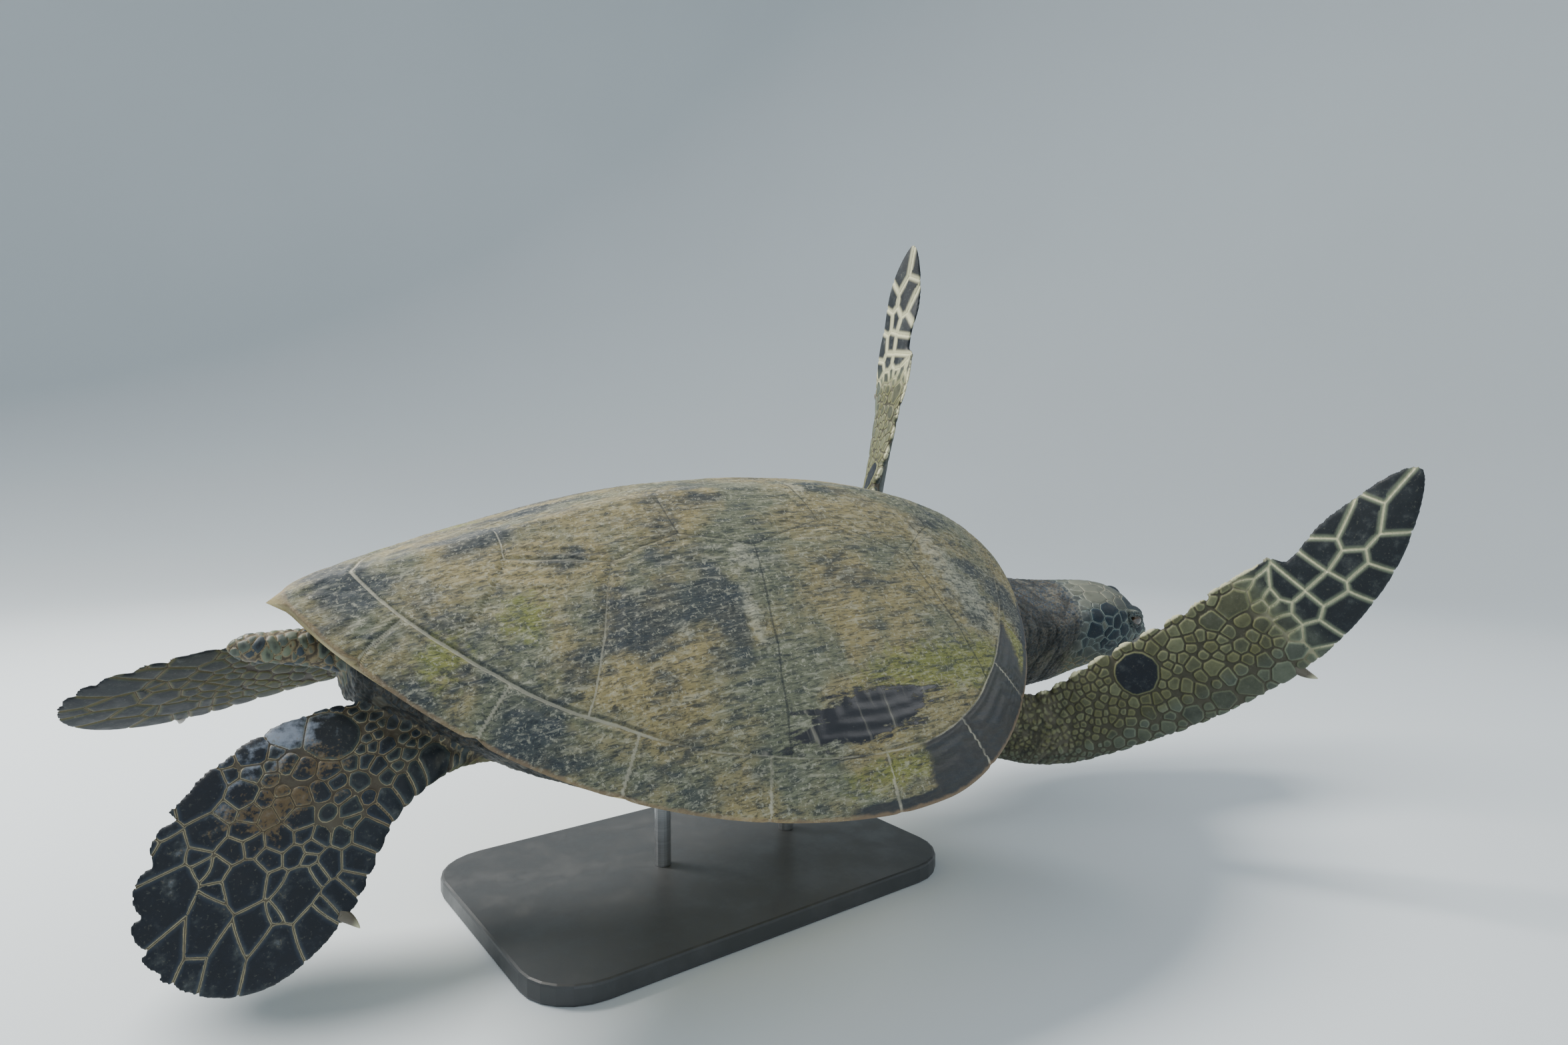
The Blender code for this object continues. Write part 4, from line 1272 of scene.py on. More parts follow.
def joined_forms():
    """The skin's even mesh with its joins smoothed, which form each point is on, and the forms."""
    limb_forms = limbs()
    forms = [
        ("head", neck_and_head()),
        ("lid_left", lid_ball(1)),
        ("lid_right", lid_ball(-1)),
        ("trunk", trunk_part(*TRUNK_FRONT)),
        ("trunk_rear", trunk_part(*TRUNK_REAR)),
        ("core", core_part()),
        ("tail", tail_part()),
    ]
    forms += [(name, limb.solid()) for name, limb in limb_forms.items()]
    mesh, owner = even_skin(forms)
    points = points_of(mesh)
    near = Neighbours(mesh)
    detail = sizes().skin_detail
    points = near.smooth(points, np.full(len(points), 0.5), 2)
    lids_too = np.where(np.isin(owner, (1, 2)), 0, owner)
    for grouping, reach, rounds in ((lids_too, 0.016, 36), (owner, 0.006, 14)):
        mixed = grouping[near.one] != grouping[near.two]
        rings = np.full(len(points), 99.0)
        rings[near.one[mixed]] = 0
        edge_rings = int(reach / detail)
        for ring in range(edge_rings):
            front = near.mean((rings <= ring).astype(float)) > 0
            rings = np.where(front & (rings > ring), ring + 1, rings)
        points = near.smooth(points, 0.6 * ease(1 - rings / edge_rings), rounds)
    place_points(mesh, points)
    return mesh, owner, [label for label, _ in forms], limb_forms


HEAD_FORMS = ("head", "lid_left", "lid_right")
BODY_FORMS = ("trunk", "trunk_rear", "core", "tail")


def on_forms(owner, labels, names):
    """Which rows belong to those forms."""
    return np.isin(owner, [labels.index(name) for name in names])


def plain_skin(count):
    """What every point has before its part of the body is known."""
    amounts = dict.fromkeys(("core", "soft", "fold", "stain", "fringe", "bleached", "lids"), 0.0)
    amounts |= {"edge": 0.006, "border": 0.02, "trim_width": 0.6, "core_start": 1.5, "seam_width": 1.0}
    paints = {"scale": tone_array("neck_skin"), "seam": tone_array("dark_seam")}
    paints["trim"] = tone_array("neck_wrinkle") * 0.7
    kept = {name: np.full(count, amount) for name, amount in amounts.items()}
    kept |= {name: np.tile(tone, (count, 1)) for name, tone in paints.items()}
    return kept | {"shift": np.zeros((count, 3))}


def trunk_surface(points, tail):
    """Small scales of the flesh in the shell's openings and rows of larger ones on the tail."""
    small, luck = cells(points, 0.0062, 2)
    bent = points * np.array((1.25, 0.6, 0.8)) + 0.001 * rough(points * 60, 2, 14)[:, None]
    rows, row_luck = cells(bent, 0.0088, 3)
    scale = tinted(tone_array("neck_skin") * 0.8, "slate_scale", 0.25 * luck)
    scale = over(scale, tinted("slate_scale", "grey_scale", row_luck), tail)
    trim = tinted(tone_array("neck_wrinkle") * 0.6, tone_array("tan_seam") * 0.8, tail)
    return {
        "edge": mix(small, rows, tail), "scale": scale, "trim": trim,
        "trim_width": mix(0.5, 0.65, tail), "core": 0.85 * tail, "fold": 1 - 0.8 * tail,
    }


def finish_head(points, normals, found):
    """Opens the lids, mouth and nostrils in the head's frame and makes room for the beak."""
    lids = np.zeros(len(points))
    lid_rims = np.zeros(len(points))
    for side in (1, -1):
        points, closeness, rim = form_lids(points, side)
        lids = np.maximum(lids, closeness)
        lid_rims = np.maximum(lid_rims, rim)
    small, _ = cells(points, 0.0042, 13)
    found["edge"] = mix(found["edge"], np.minimum(small * 1.3, 0.004), lids)
    found["scale"] = over(found["scale"], tone_array("head_scale") * 0.75, lids)
    found["trim"] = over(found["trim"], tone_array("head_seam") * 0.42, lids)
    found["scale"] = over(found["scale"], tone_array("head_seam") * 0.35, 0.7 * lid_rims)
    found["border"] = np.where(lids < 0.01, found["border"], 0.02)
    found["lids"] = lids
    along = points[:, 0] / SHELL
    height = points[:, 2] / SHELL
    mouth = MOUTH_HEIGHT + 0.006 * ease((0.12 - along) / 0.04)
    gape = bump(height, mouth, 0.0022) * step(along, MOUTH_CORNER - 0.006, MOUTH_CORNER + 0.01)
    sink = 0.0022 * gape
    for side in (1, -1):
        nostril = head_points(np.array(0.925), np.array(math.radians(90 - 34 * side)))
        sink += 0.0026 * bump(np.linalg.norm(points - nostril, axis=1), 0, 0.0023)
    under_beak = step(along, BEAK_START - 0.0006, BEAK_START + 0.0012)
    beak_edge = BEAK_TOP + BEAK_SLANT[1] * (np.minimum(along, BEAK_SLANT[0]) - BEAK_SLANT[0])
    under_beak = under_beak * (1 - step(height, beak_edge - 0.0012, beak_edge))
    return points - normals * (sink + sizes().skin_under_beak * under_beak)[:, None]


def body_skin():
    """The skin's mesh, with what its finish needs kept on its points."""
    mesh, owner, labels, limb_forms = joined_forms()
    points = points_of(mesh)
    normals = outward_of(mesh)
    count = len(points)
    kept = plain_skin(count)

    def keep(chosen, found):
        for key, values in found.items():
            if key in kept:
                kept[key][chosen] = values

    chosen = np.nonzero(on_forms(owner, labels, BODY_FORMS))[0]
    tail = np.where(owner[chosen] == labels.index("tail"), step(-points[chosen][:, 0], 0.36, 0.38), 0.0)
    keep(chosen, trunk_surface(points[chosen], tail))
    for name, limb in limb_forms.items():
        front = name.startswith("front")
        chosen = np.nonzero(owner == labels.index(name))[0]
        if front:
            named = (*FRONT_SCALES, FRONT_SPOT)
            seeds = scattered(limb, named, front_small_reach, low=0.18, high=0.69, tries=2600, seed=3)
        else:
            seeds = scattered(limb, HIND_SCALES, hind_small_reach, low=0.14, high=0.76, tries=1800, seed=4)
        keep(chosen, flipper_surface(limb, points[chosen], seeds, front, name.endswith("left")))
    chosen = np.nonzero(on_forms(owner, labels, HEAD_FORMS))[0]
    frame = head_frame()
    back = frame.inverted()
    in_head = moved(points[chosen], back)
    found = head_surface(in_head)
    in_head = finish_head(in_head, normals[chosen] @ np.array(back)[:3, :3].T, found)
    points[chosen] = moved(in_head, frame)
    keep(chosen, found)

    detail = sizes().skin_detail
    edge, lids, fold = kept["edge"], kept["lids"], kept["fold"]
    snap = np.abs(kept["border"]) < 0.55 * detail
    lateral = kept["shift"] - normals * (kept["shift"] * normals).sum(1, keepdims=True)
    points[snap] += np.clip(lateral[snap], -detail, detail) * 0.9
    edge[snap] = np.minimum(edge[snap], 0.0)
    wrinkle = wrinkles(points, 1.0) * fold * (1 - lids)
    dome = 0.0006 * (1 - np.exp(-np.maximum(edge, 0) / 0.004))
    furrow = sizes().scale_relief * (1 - step(edge * 1000, -0.2, 1.5)) * (1 - 0.55 * lids)
    depth = dome - furrow * mix(1.0, 0.45, fold) - sizes().wrinkle_relief * wrinkle
    points += normals * depth[:, None]
    place_points(mesh, to_world(points))

    note(mesh, "edge", np.clip(edge * 1000, -2, 30))
    note(mesh, "wrinkle", wrinkle)
    note(mesh, "slack", fold)
    amounts = ("trim_width", "core", "core_start", "soft", "seam_width", "stain", "fringe", "bleached")
    for name in amounts:
        note(mesh, name, kept[name])
    note(mesh, "lie", points)
    for name in ("scale", "seam", "trim"):
        note(mesh, f"{name}_paint", np.concatenate([kept[name], np.ones((count, 1))], 1))
    skin_map(mesh, points, owner, labels, limb_forms)
    return mesh


def skin_map(mesh, points, owner, labels, limb_forms):
    """The map for baking: a chart for each side of a flipper, one round the head, and the rest by side."""
    corners = corners_of(mesh)
    starts = read(mesh.polygons, "loop_start")
    totals = read(mesh.polygons, "loop_total")
    face_of = np.repeat(np.arange(len(starts)), totals)
    normals = read(mesh.polygon_normals, "vector", np.float32, 3)
    normals = normals.reshape(-1, 3) @ np.array(BODY_POSE)[:3, :3]
    face_owner = owner[corners[starts]]
    u = np.zeros(len(corners))
    v = np.zeros(len(corners))

    def fit(chosen, a, b, cell):
        left, low, width, height = cell
        span_a = max(np.ptp(a), 1e-6)
        span_b = max(np.ptp(b), 1e-6)
        size = min(width / span_a, height / span_b) * 0.985
        u[chosen] = left + 0.004 + (a - a.min()) * size
        v[chosen] = low + 0.004 + (b - b.min()) * size

    slots = {"front_right": 0.0, "front_left": 0.12, "hind_right": 0.24, "hind_left": 0.36}
    for name, limb in limb_forms.items():
        chosen = np.nonzero(face_owner[face_of] == labels.index(name))[0]
        found = limb.locate(points[corners[chosen]])
        rise = found["rise"]
        sums = np.bincount(face_of[chosen], rise, len(starts))
        top = sums[face_of[chosen]] > 0
        local = np.sign(found["side"]) * np.maximum(0, 0.006 - np.abs(rise)) * 0.9
        for k, which in enumerate((top, ~top)):
            cell = (0.5 * k, slots[name], 0.49, 0.115)
            fit(chosen[which], found["run"][which], (found["side"] + local)[which], cell)
    chosen = np.nonzero(on_forms(face_owner[face_of], labels, HEAD_FORMS))[0]
    local = moved(points[corners[chosen]], head_frame().inverted())
    middle_height = -0.03 * SHELL
    angle = np.arctan2(local[:, 1], local[:, 2] - middle_height)
    first = np.zeros(len(starts))
    first[face_of[chosen][::-1]] = angle[::-1]
    angle = first[face_of[chosen]] + (angle - first[face_of[chosen]] + math.pi) % (2 * math.pi) - math.pi
    round_axis = np.hypot(local[:, 1], local[:, 2] - middle_height)
    fit(chosen, local[:, 0] - 0.7 * round_axis, angle * 0.085, (0.0, 0.49, 0.66, 0.50))
    chosen = on_forms(face_owner[face_of], labels, BODY_FORMS)
    main_axis = np.abs(normals).argmax(1)
    way = np.take_along_axis(normals, main_axis[:, None], 1)[:, 0] > 0
    for k, (axis, ahead) in enumerate(itertools.product(range(3), (False, True))):
        part = np.nonzero(chosen & (main_axis[face_of] == axis) & (way[face_of] == ahead))[0]
        if not len(part):
            continue
        place = points[corners[part]]
        others = [i for i in range(3) if i != axis]
        cell = (0.67 + 0.11 * (k % 3), 0.49 + 0.25 * (k // 3), 0.10, 0.24)
        fit(part, place[:, others[0]], place[:, others[1]], cell)
    bake_map(mesh, u, v)


def skin_finish():
    """Scaled skin: dark-centred scales with a pale trim and a dark seam, wrinkled and mottled, with
    painted shade in the wrinkles and painted highlights on the folds between them.
    """
    skin = Finish("sea_turtle_skin", roughness=0.55, specular_ior_level=0.22)
    lie = skin.kept("lie", "Vector")
    edge = skin.kept("edge")
    wrinkle = skin.kept("wrinkle")
    fine = skin.noise(lie, 420, 4, 0.6)
    mottle = skin.noise(lie, 75, 5, 0.62)
    broad = skin.noise(lie, 16, 4, 0.55)
    ragged = edge + (fine - 0.5) * 0.9 + (mottle - 0.5) * 0.8
    width = skin.kept("trim_width")
    start = skin.kept("core_start")
    base = skin.kept("scale_paint", "Color")
    centre = skin.rise(ragged - start, 0.0, skin.kept("soft") * 2.0 + 2.4) * skin.kept("core")
    dark = skin.blend(skin.rise(mottle, 0.45, 0.8) * 0.4, "black_scale", "slate_scale")
    base = skin.blend(centre, base, dark)
    base = skin.cover(
        base,
        (mottle, 0.52, 0.76, 0.2, "crown_scale"),
        (mottle, 0.55, 0.30, 0.35, shade_of("black_scale", 0.6)),
    )
    crisp = skin.rise(ragged / width, 1.5, 0.55)
    blurred = skin.rise(ragged / width, 2.9, 0.0)
    trim = crisp + (blurred - crisp) * skin.kept("soft")
    base = skin.blend(trim * 0.92, base, skin.kept("trim_paint", "Color"))
    bleached = skin.rise(skin.kept("bleached") + (mottle - 0.5) * 2.4, 0.35, 1.0)
    base = skin.blend(bleached * 0.6, base, "bleached_scale")
    specks = (mottle - 0.5) * 3.0 + (fine - 0.5) * 2.0
    stain = skin.rise(skin.kept("stain") + specks, 0.6, 1.1)
    base = skin.blend(stain * 0.55, base, "stain")
    seam = skin.rise((edge + (fine - 0.5) * 0.5) / skin.kept("seam_width"), 0.62, 0.12)
    base = skin.blend(seam * 0.85, base, skin.kept("seam_paint", "Color"))
    # Painted shade: the bottoms of the wrinkles are darkened.
    base = skin.cover(base, (wrinkle, 0.15, 0.75, 0.65, shade_of("neck_skin", 0.35)))
    # Painted highlight: the raised folds between the wrinkles are lightened with the pale trim colour, as
    # if lit.
    ridge_highlight = skin.rise(wrinkle, 0.20, 0.02) * skin.kept("slack") * skin.rise(broad, 0.42, 0.62)
    base = skin.blend(ridge_highlight * 0.45, base, "neck_wrinkle")
    curled = skin.rise(skin.kept("fringe") + (mottle - 0.5) * 1.4, 0.35, 0.9)
    base = skin.blend(curled * 0.7, base, "cream_seam")
    base = skin.cover(base, (fine, 0.58, 0.72, 0.22, "crown_scale"))
    roughness = skin.rise(mottle, 0.3, 0.7, 0.46, 0.7)
    height = skin.rise(edge, -0.1, 1.4) * 0.6 + fine * 0.22 + mottle * 0.35
    return skin.finish(base, roughness, height, strength=0.6, distance=0.0012)


# The shell.


def row_distance(row, length_of_one):
    """How far a place is from the next whole row."""
    return np.abs(row - np.round(row)) * length_of_one


def spread(values, shape, inner, inside):
    """Values of the outer rings, one same value on the inner ones and on both end points."""
    rest = np.full((shape[0], inner.shape[1]), inside)
    block = np.concatenate([values.reshape(shape[:2]), rest], 1)
    return np.concatenate([block.ravel(), [inside, inside]])


def tube_map(mesh, rings):
    """A baking map for a tube: along the rings one way and round them the other."""
    rows, count = rings.shape[:2]
    middle = rings[rows // 2]
    round_steps = np.linalg.norm(np.roll(middle, -1, 0) - middle, axis=1)
    v = run_of(round_steps) / round_steps.sum()
    steps_along = np.linalg.norm(np.diff(rings[:, count // 4], axis=0), axis=1) + 1e-4
    run = 0.01 + 0.98 * run_of(steps_along) / steps_along.sum()
    i, j = np.meshgrid(np.arange(rows - 1), np.arange(count), indexing="ij")
    i, j = i.ravel(), j.ravel()
    one, two = v[:-1], v[1:]
    middle = (one + two) / 2
    u_parts = (
        np.stack([run[i], run[i], run[i + 1], run[i + 1]], -1),
        np.tile((run[0], run[0], 0.0), (count, 1)),
        np.tile((run[-1], run[-1], 1.0), (count, 1)),
    )
    v_parts = (
        np.stack([one[j], two[j], two[j], one[j]], -1),
        np.stack([two, one, middle], -1),
        np.stack([one, two, middle], -1),
    )
    bake_map(mesh, *(np.concatenate([part.ravel() for part in parts]) for parts in (u_parts, v_parts)))


# Places on the carapace: along, across, and the two half sizes, in shares of the shell's length.
PATCHES = {
    "slate": (
        (-0.45, 0.03, 0.04, 0.05), (-0.33, 0.01, 0.06, 0.022), (-0.42, 0.16, 0.03, 0.06),
        (-0.33, 0.21, 0.04, 0.05), (-0.06, 0.015, 0.04, 0.02), (0.13, 0.01, 0.05, 0.012),
        (-0.18, 0.15, 0.10, 0.05), (-0.10, 0.17, 0.02, 0.06), (0.37, 0.18, 0.06, 0.10),
        (-0.24, 0.06, 0.05, 0.02),
    ),
    "ochre": (
        (0.08, 0.07, 0.12, 0.05), (-0.275, 0.14, 0.018, 0.045), (-0.17, 0.24, 0.06, 0.03),
        (0.0, 0.27, 0.06, 0.02), (-0.375, 0.15, 0.02, 0.05), (-0.46, 0.09, 0.02, 0.04),
        (-0.22, 0.20, 0.03, 0.04), (0.20, 0.06, 0.08, 0.04),
    ),
    "pale": (
        (0.25, 0.13, 0.035, 0.08), (0.085, 0.0, 0.014, 0.03), (-0.075, 0.18, 0.012, 0.05),
        (-0.155, 0.175, 0.009, 0.010), (0.285, 0.2, 0.02, 0.05), (-0.05, 0.11, 0.02, 0.03),
    ),
    "algae": (
        (0.24, 0.27, 0.08, 0.04), (0.10, 0.27, 0.10, 0.03), (0.03, 0.35, 0.09, 0.016),
        (-0.385, 0.12, 0.03, 0.03), (0.33, 0.24, 0.02, 0.05), (-0.30, 0.11, 0.03, 0.03),
    ),
}
SCRAPE = (0.005, -0.300, 0.10, 0.026)
# Between which places along the body the right front marginals are bare dark horn.
BARE_MARGINS = (0.06, 0.28)


def patch(x, y, spot):
    along, across, long, wide = spot
    return np.exp(-(((x - along) / long) ** 2) - ((y - across) / wide) ** 2)


def carapace_mesh():
    """The carapace with its scutes, seams and worn rim."""
    rows, across = (430, 351) if FINE else (260, 221)
    x = mix(REAR_RING, 0.5, stations(rows) + 0.5)
    width, rim, dome = half_width(x), rim_height(x), dome_height(x)
    wall = np.minimum(SHELL_WALL, 0.6 * dome)
    inner_width = np.maximum(width - RIM_WALL, 0.5 * width)
    s = np.sin(np.linspace(math.pi / 2, -math.pi / 2, across))
    outer = rings_of(x, width[:, None] * s, rim[:, None] + dome[:, None] * roof(s))
    t = np.linspace(-1, 1, 43)[1:-1]
    ceiling = (rim - RIM_WALL)[:, None] + (dome - wall + RIM_WALL)[:, None] * roof(t)
    inner = rings_of(x, inner_width[:, None] * t, ceiling)

    flat = outer.reshape(-1, 3)
    side = np.abs(flat[:, 1])
    rim_x = np.concatenate([[-0.5 - REAR_POINT], stations(500), [0.5]])
    rim_line = np.stack([rim_x, half_width(np.clip(rim_x, -0.5, 0.5)), rim_height(rim_x)], -1)
    lengths = run_of(np.linalg.norm(np.diff(rim_line, axis=0), axis=1))
    lengths /= lengths[-1]
    to_rim = np.empty(len(flat))
    arc = np.empty(len(flat))
    for start in range(0, len(flat), 20000):
        rows_here = slice(start, start + 20000)
        here = np.stack([flat[rows_here, 0], side[rows_here], flat[rows_here, 2]], -1)
        square = (here**2).sum(1)[:, None] + (rim_line**2).sum(1) - 2 * here @ rim_line.T
        best = square.argmin(1)
        to_rim[rows_here] = np.sqrt(np.maximum(square[np.arange(len(best)), best], 0))
        arc[rows_here] = lengths[best]
    wander = rough(flat * 14, 3, 41) * 0.004
    along = flat[:, 0] + wander
    vertebral_edge = side + rough(flat * 18, 3, 42) * 0.003 - knots(VERTEBRAL_EDGE, along)
    marginal_edge = to_rim - MARGIN_BAND + rough(flat * 16, 3, 43) * 0.003
    vertebral_row = np.interp(along, VERTEBRAL_SEAMS, np.arange(len(VERTEBRAL_SEAMS)))
    marginal_row = np.interp(arc, MARGINAL_SEAMS, np.arange(len(MARGINAL_SEAMS)))
    inward = np.maximum(vertebral_edge, 0)
    outward = np.maximum(marginal_edge, 0)
    part = inward / np.maximum(inward + outward, 1e-6)
    costal_row = np.zeros(len(flat))
    for one, two in zip(COSTAL_SEAMS, COSTAL_SEAMS[1:]):
        low = mix(one[0], one[1], part)
        high = mix(two[0], two[1], part)
        costal_row += np.clip((along - low) / (high - low), 0, 1)
    costal_row = np.where(along < mix(COSTAL_SEAMS[0][0], COSTAL_SEAMS[0][1], part), -0.4, costal_row)

    in_margin = marginal_edge < 0
    in_vertebral = vertebral_edge < 0
    behind_last = (costal_row < 0) & ~in_margin
    seam = np.where(
        in_margin,
        row_distance(marginal_row, 0.10),
        np.where(in_vertebral, row_distance(vertebral_row, 0.18), row_distance(costal_row, 0.19)),
    )
    seam = np.where(behind_last, 0.05, seam)
    seam = np.minimum(seam, np.abs(marginal_edge))
    seam = np.where(in_margin | behind_last, seam, np.minimum(seam, np.abs(vertebral_edge)))
    worn = 0.35 + 0.65 * np.clip(step(-flat[:, 0], -0.05, 0.25) + (marginal_edge < 0.012), 0, 1)
    groove = sizes().scute_relief * worn * bump(seam * SHELL, 0, 0.0026)
    swell = sizes().shell_relief * (rough(flat * 9, 3, 44) * 0.6 + 0.5 * (1 - np.exp(-seam / 0.03)) - 0.5)
    ribs = 0.0007 * np.sin(seam * 420) * np.exp(-seam / 0.05)
    keel = 0.0022 * bump(flat[:, 1], 0, 0.014) * step(-flat[:, 0], -0.2, 0.3)
    lumps = 0.0005 * rough(flat * np.array((40, 130, 130)), 2, 45)
    depth = (swell + ribs + keel + lumps) * step(to_rim, 0.0, 0.02) - groove

    grid = outer * SHELL
    one = np.gradient(grid, axis=0)
    two = np.gradient(grid, axis=1)
    normals = unit(np.cross(one, two)).reshape(-1, 3)
    normals *= np.sign(normals[:, 2:3] + 1e-9)
    placed = flat * SHELL + normals * depth[:, None]
    notch = np.zeros(len(flat))
    for place, deep in RIM_NOTCHES:
        notch += deep * bump(arc, place, 0.006) * np.exp(-to_rim / 0.008)
    inward_way = unit(np.stack([-flat[:, 0] * 0.8, -flat[:, 1], 0 * side], -1))
    placed += inward_way * (0.005 * notch)[:, None]
    rings = np.concatenate([placed.reshape(outer.shape), inner * SHELL], 1)
    rear = np.array((-0.5 - REAR_POINT, 0, RIM_LIFT["rear"] - RIM_WALL / 2)) * SHELL
    front = np.array((0.5, 0, RIM_LIFT["front"] - RIM_WALL / 2)) * SHELL
    points, quads, triangles = tube(rings, rear, front)
    mesh = mesh_from("carapace_shell", to_world(points), quads, triangles)

    kept = {}
    for name, spots in PATCHES.items():
        kept[name] = (sum(patch(flat[:, 0], side, spot) for spot in spots), 0)
    low, high = BARE_MARGINS
    right = step(-flat[:, 1], 0.10, 0.16)
    bare = step(flat[:, 0], low - 0.04, low + 0.03) * (1 - step(flat[:, 0], high, high + 0.08))
    inside = bare * step(-marginal_edge, -0.004, 0.002)
    near_rim = step(flat[:, 0], -0.14, 0.0) * (1 - step(to_rim, 0.009, 0.019))
    kept |= {
        "vertebral_edge": (vertebral_edge * SHELL * 1000, 60),
        "marginal_edge": (marginal_edge * SHELL * 1000, -25),
        "vertebral_row": (vertebral_row, 0.5),
        "marginal_row": (marginal_row, 0.5),
        "costal_row": (costal_row, 0.5),
        "to_rim": (to_rim * SHELL * 1000, 0),
        "scrape": (patch(flat[:, 0], flat[:, 1], SCRAPE), 0),
        "bare": (right * np.maximum(inside, near_rim), 0),
        "rearward": (-flat[:, 0], 0),
        "underside": (np.zeros(len(flat)), 1),
    }
    for name, (values, inner_value) in kept.items():
        note(mesh, name, spread(values, outer.shape, inner, inner_value))
    note(mesh, "lie", points)
    tube_map(mesh, rings)
    return mesh


def carapace_finish():
    """Old horn with growth: mottled olive and ochre, slate patches, fine lengthwise streaks."""
    horn = Finish("sea_turtle_carapace", roughness=0.6, specular_ior_level=0.35)
    lie = horn.kept("lie", "Vector")
    streak = horn.noise(horn.stretched(lie, 12, 70, 70), 2.2, 6, 0.62, 0.4)
    hair = horn.noise(horn.stretched(lie, 40, 260, 260), 2.0, 4, 0.65, 0.6)
    blotch = horn.noise(lie, 9, 5, 0.6, 0.3)
    cloud = horn.noise(horn.stretched(lie, 1.0, 1.8, 1.8), 14, 5, 0.62)
    fleck = horn.noise(lie, 260, 3, 0.7)
    crumbs = horn.noise(lie, 110, 4, 0.65)

    def patched(under, name, grain, spread, strength, top):
        amount = horn.rise(horn.kept(name) + (grain - 0.5) * spread, 0.35, 0.95)
        return horn.blend(amount * strength, under, top)

    shade = shade_of("shell_slate", 0.5)
    base = horn.cover("shell_olive", (blotch, 0.40, 0.60, 0.9, "shell_ochre"))
    base = patched(base, "ochre", cloud, 1.6, 0.7, "shell_ochre")
    base = horn.cover(base, (cloud, 0.50, 0.68, 0.7, "shell_slate"))
    base = patched(base, "slate", cloud, 2.0, 0.85, "shell_slate")
    base = patched(base, "algae", crumbs, 1.8, 0.8, "shell_algae")
    base = patched(base, "pale", crumbs, 2.6, 0.5, "shell_pale")
    base = horn.cover(
        base,
        (streak, 0.50, 0.64, 0.65, "shell_slate"),
        (streak, 0.46, 0.34, 0.38, "shell_pale"),
        (hair, 0.50, 0.62, 0.65, shade),
        (hair, 0.44, 0.34, 0.35, "shell_pale"),
        (fleck, 0.55, 0.66, 0.50, "shell_pale"),
        (crumbs, 0.44, 0.34, 0.40, shade),
    )

    torn = (streak - 0.5) * 1.6 + (crumbs - 0.5) * 0.8
    scrape = horn.rise(horn.kept("scrape") + torn, 0.40, 0.60)
    fan = horn.noise(horn.stretched(lie, 90, 7, 7), 1.0, 3, 0.5, 0.5)
    bared = horn.blend(horn.rise(fan, 0.56, 0.70) * 0.35, "shell_bare", "shell_seam")
    base = horn.blend(scrape, base, bared)
    bare = horn.rise(horn.kept("bare") + (cloud - 0.5) * 1.4, 0.45, 0.8)
    dark_horn = horn.blend(horn.rise(streak, 0.4, 0.7) * 0.5, "shell_bare", "shell_slate")
    base = horn.blend(bare * 0.93, base, dark_horn)

    vertebral_edge = horn.kept("vertebral_edge")
    marginal_edge = horn.kept("marginal_edge")
    in_margin = horn.rise(marginal_edge, 0.05, -0.05)
    in_vertebral = horn.rise(vertebral_edge, 0.05, -0.05) * (1 - in_margin)
    in_costal = (1 - in_margin) * (1 - in_vertebral)
    jitter = (crumbs - 0.5) * 1.6

    def seam(distance, wide=1.3):
        return horn.rise(distance + jitter, wide, wide * 0.3)

    def crossing(name, millimetres):
        row = horn.kept(name)
        return seam(abs(row - row.whole()) * millimetres)

    live = horn.rise(horn.kept("costal_row"), -0.39, -0.3)
    rearward = horn.rise(horn.kept("rearward"), 0.15, 0.27)
    lines = seam(abs(marginal_edge) - rearward * 0.6, 1.2)
    lines = lines.higher(crossing("marginal_row", 75) * in_margin)
    inner = seam(abs(vertebral_edge), 0.9) * live * (1 - in_margin)
    inner = inner.higher(crossing("vertebral_row", 150) * in_vertebral)
    inner = inner.higher(crossing("costal_row", 160) * in_costal * live)
    top_side = 1 - horn.kept("underside")
    base = horn.blend(inner * (1 - rearward) * 0.55 * top_side, base, shade)
    broken = horn.rise(cloud, 0.58, 0.40, 0.12, 0.85).higher(rearward * 0.75)
    beside = seam(abs(marginal_edge - 3.2), 2.4) * broken * (1 - in_vertebral) * top_side
    base = horn.blend(beside * 0.55, base, shade)
    lines = lines.higher(inner * rearward) * broken * top_side
    base = horn.blend(lines * 0.85, base, "shell_seam")
    to_rim = horn.kept("to_rim")
    rim = horn.rise(to_rim + (crumbs - 0.5) * 5, 4.5, 1.5) * top_side
    base = horn.blend(rim * 0.55, base, "shell_rim")
    below = horn.blend(cloud, "plastron_horn", "shell_ochre")
    base = horn.blend(horn.kept("underside"), base, below)
    gloss = scrape.higher(bare * 0.5)
    roughness = horn.rise(gloss, 0.0, 1.0, 0.72, 0.30)
    height = crumbs * 0.8 + streak * 0.5 + hair * 0.35 + fleck * 0.25
    height = height * (1 - 0.75 * gloss) - lines * 0.3
    return horn.finish(base, roughness, height, strength=0.6, distance=0.0016)


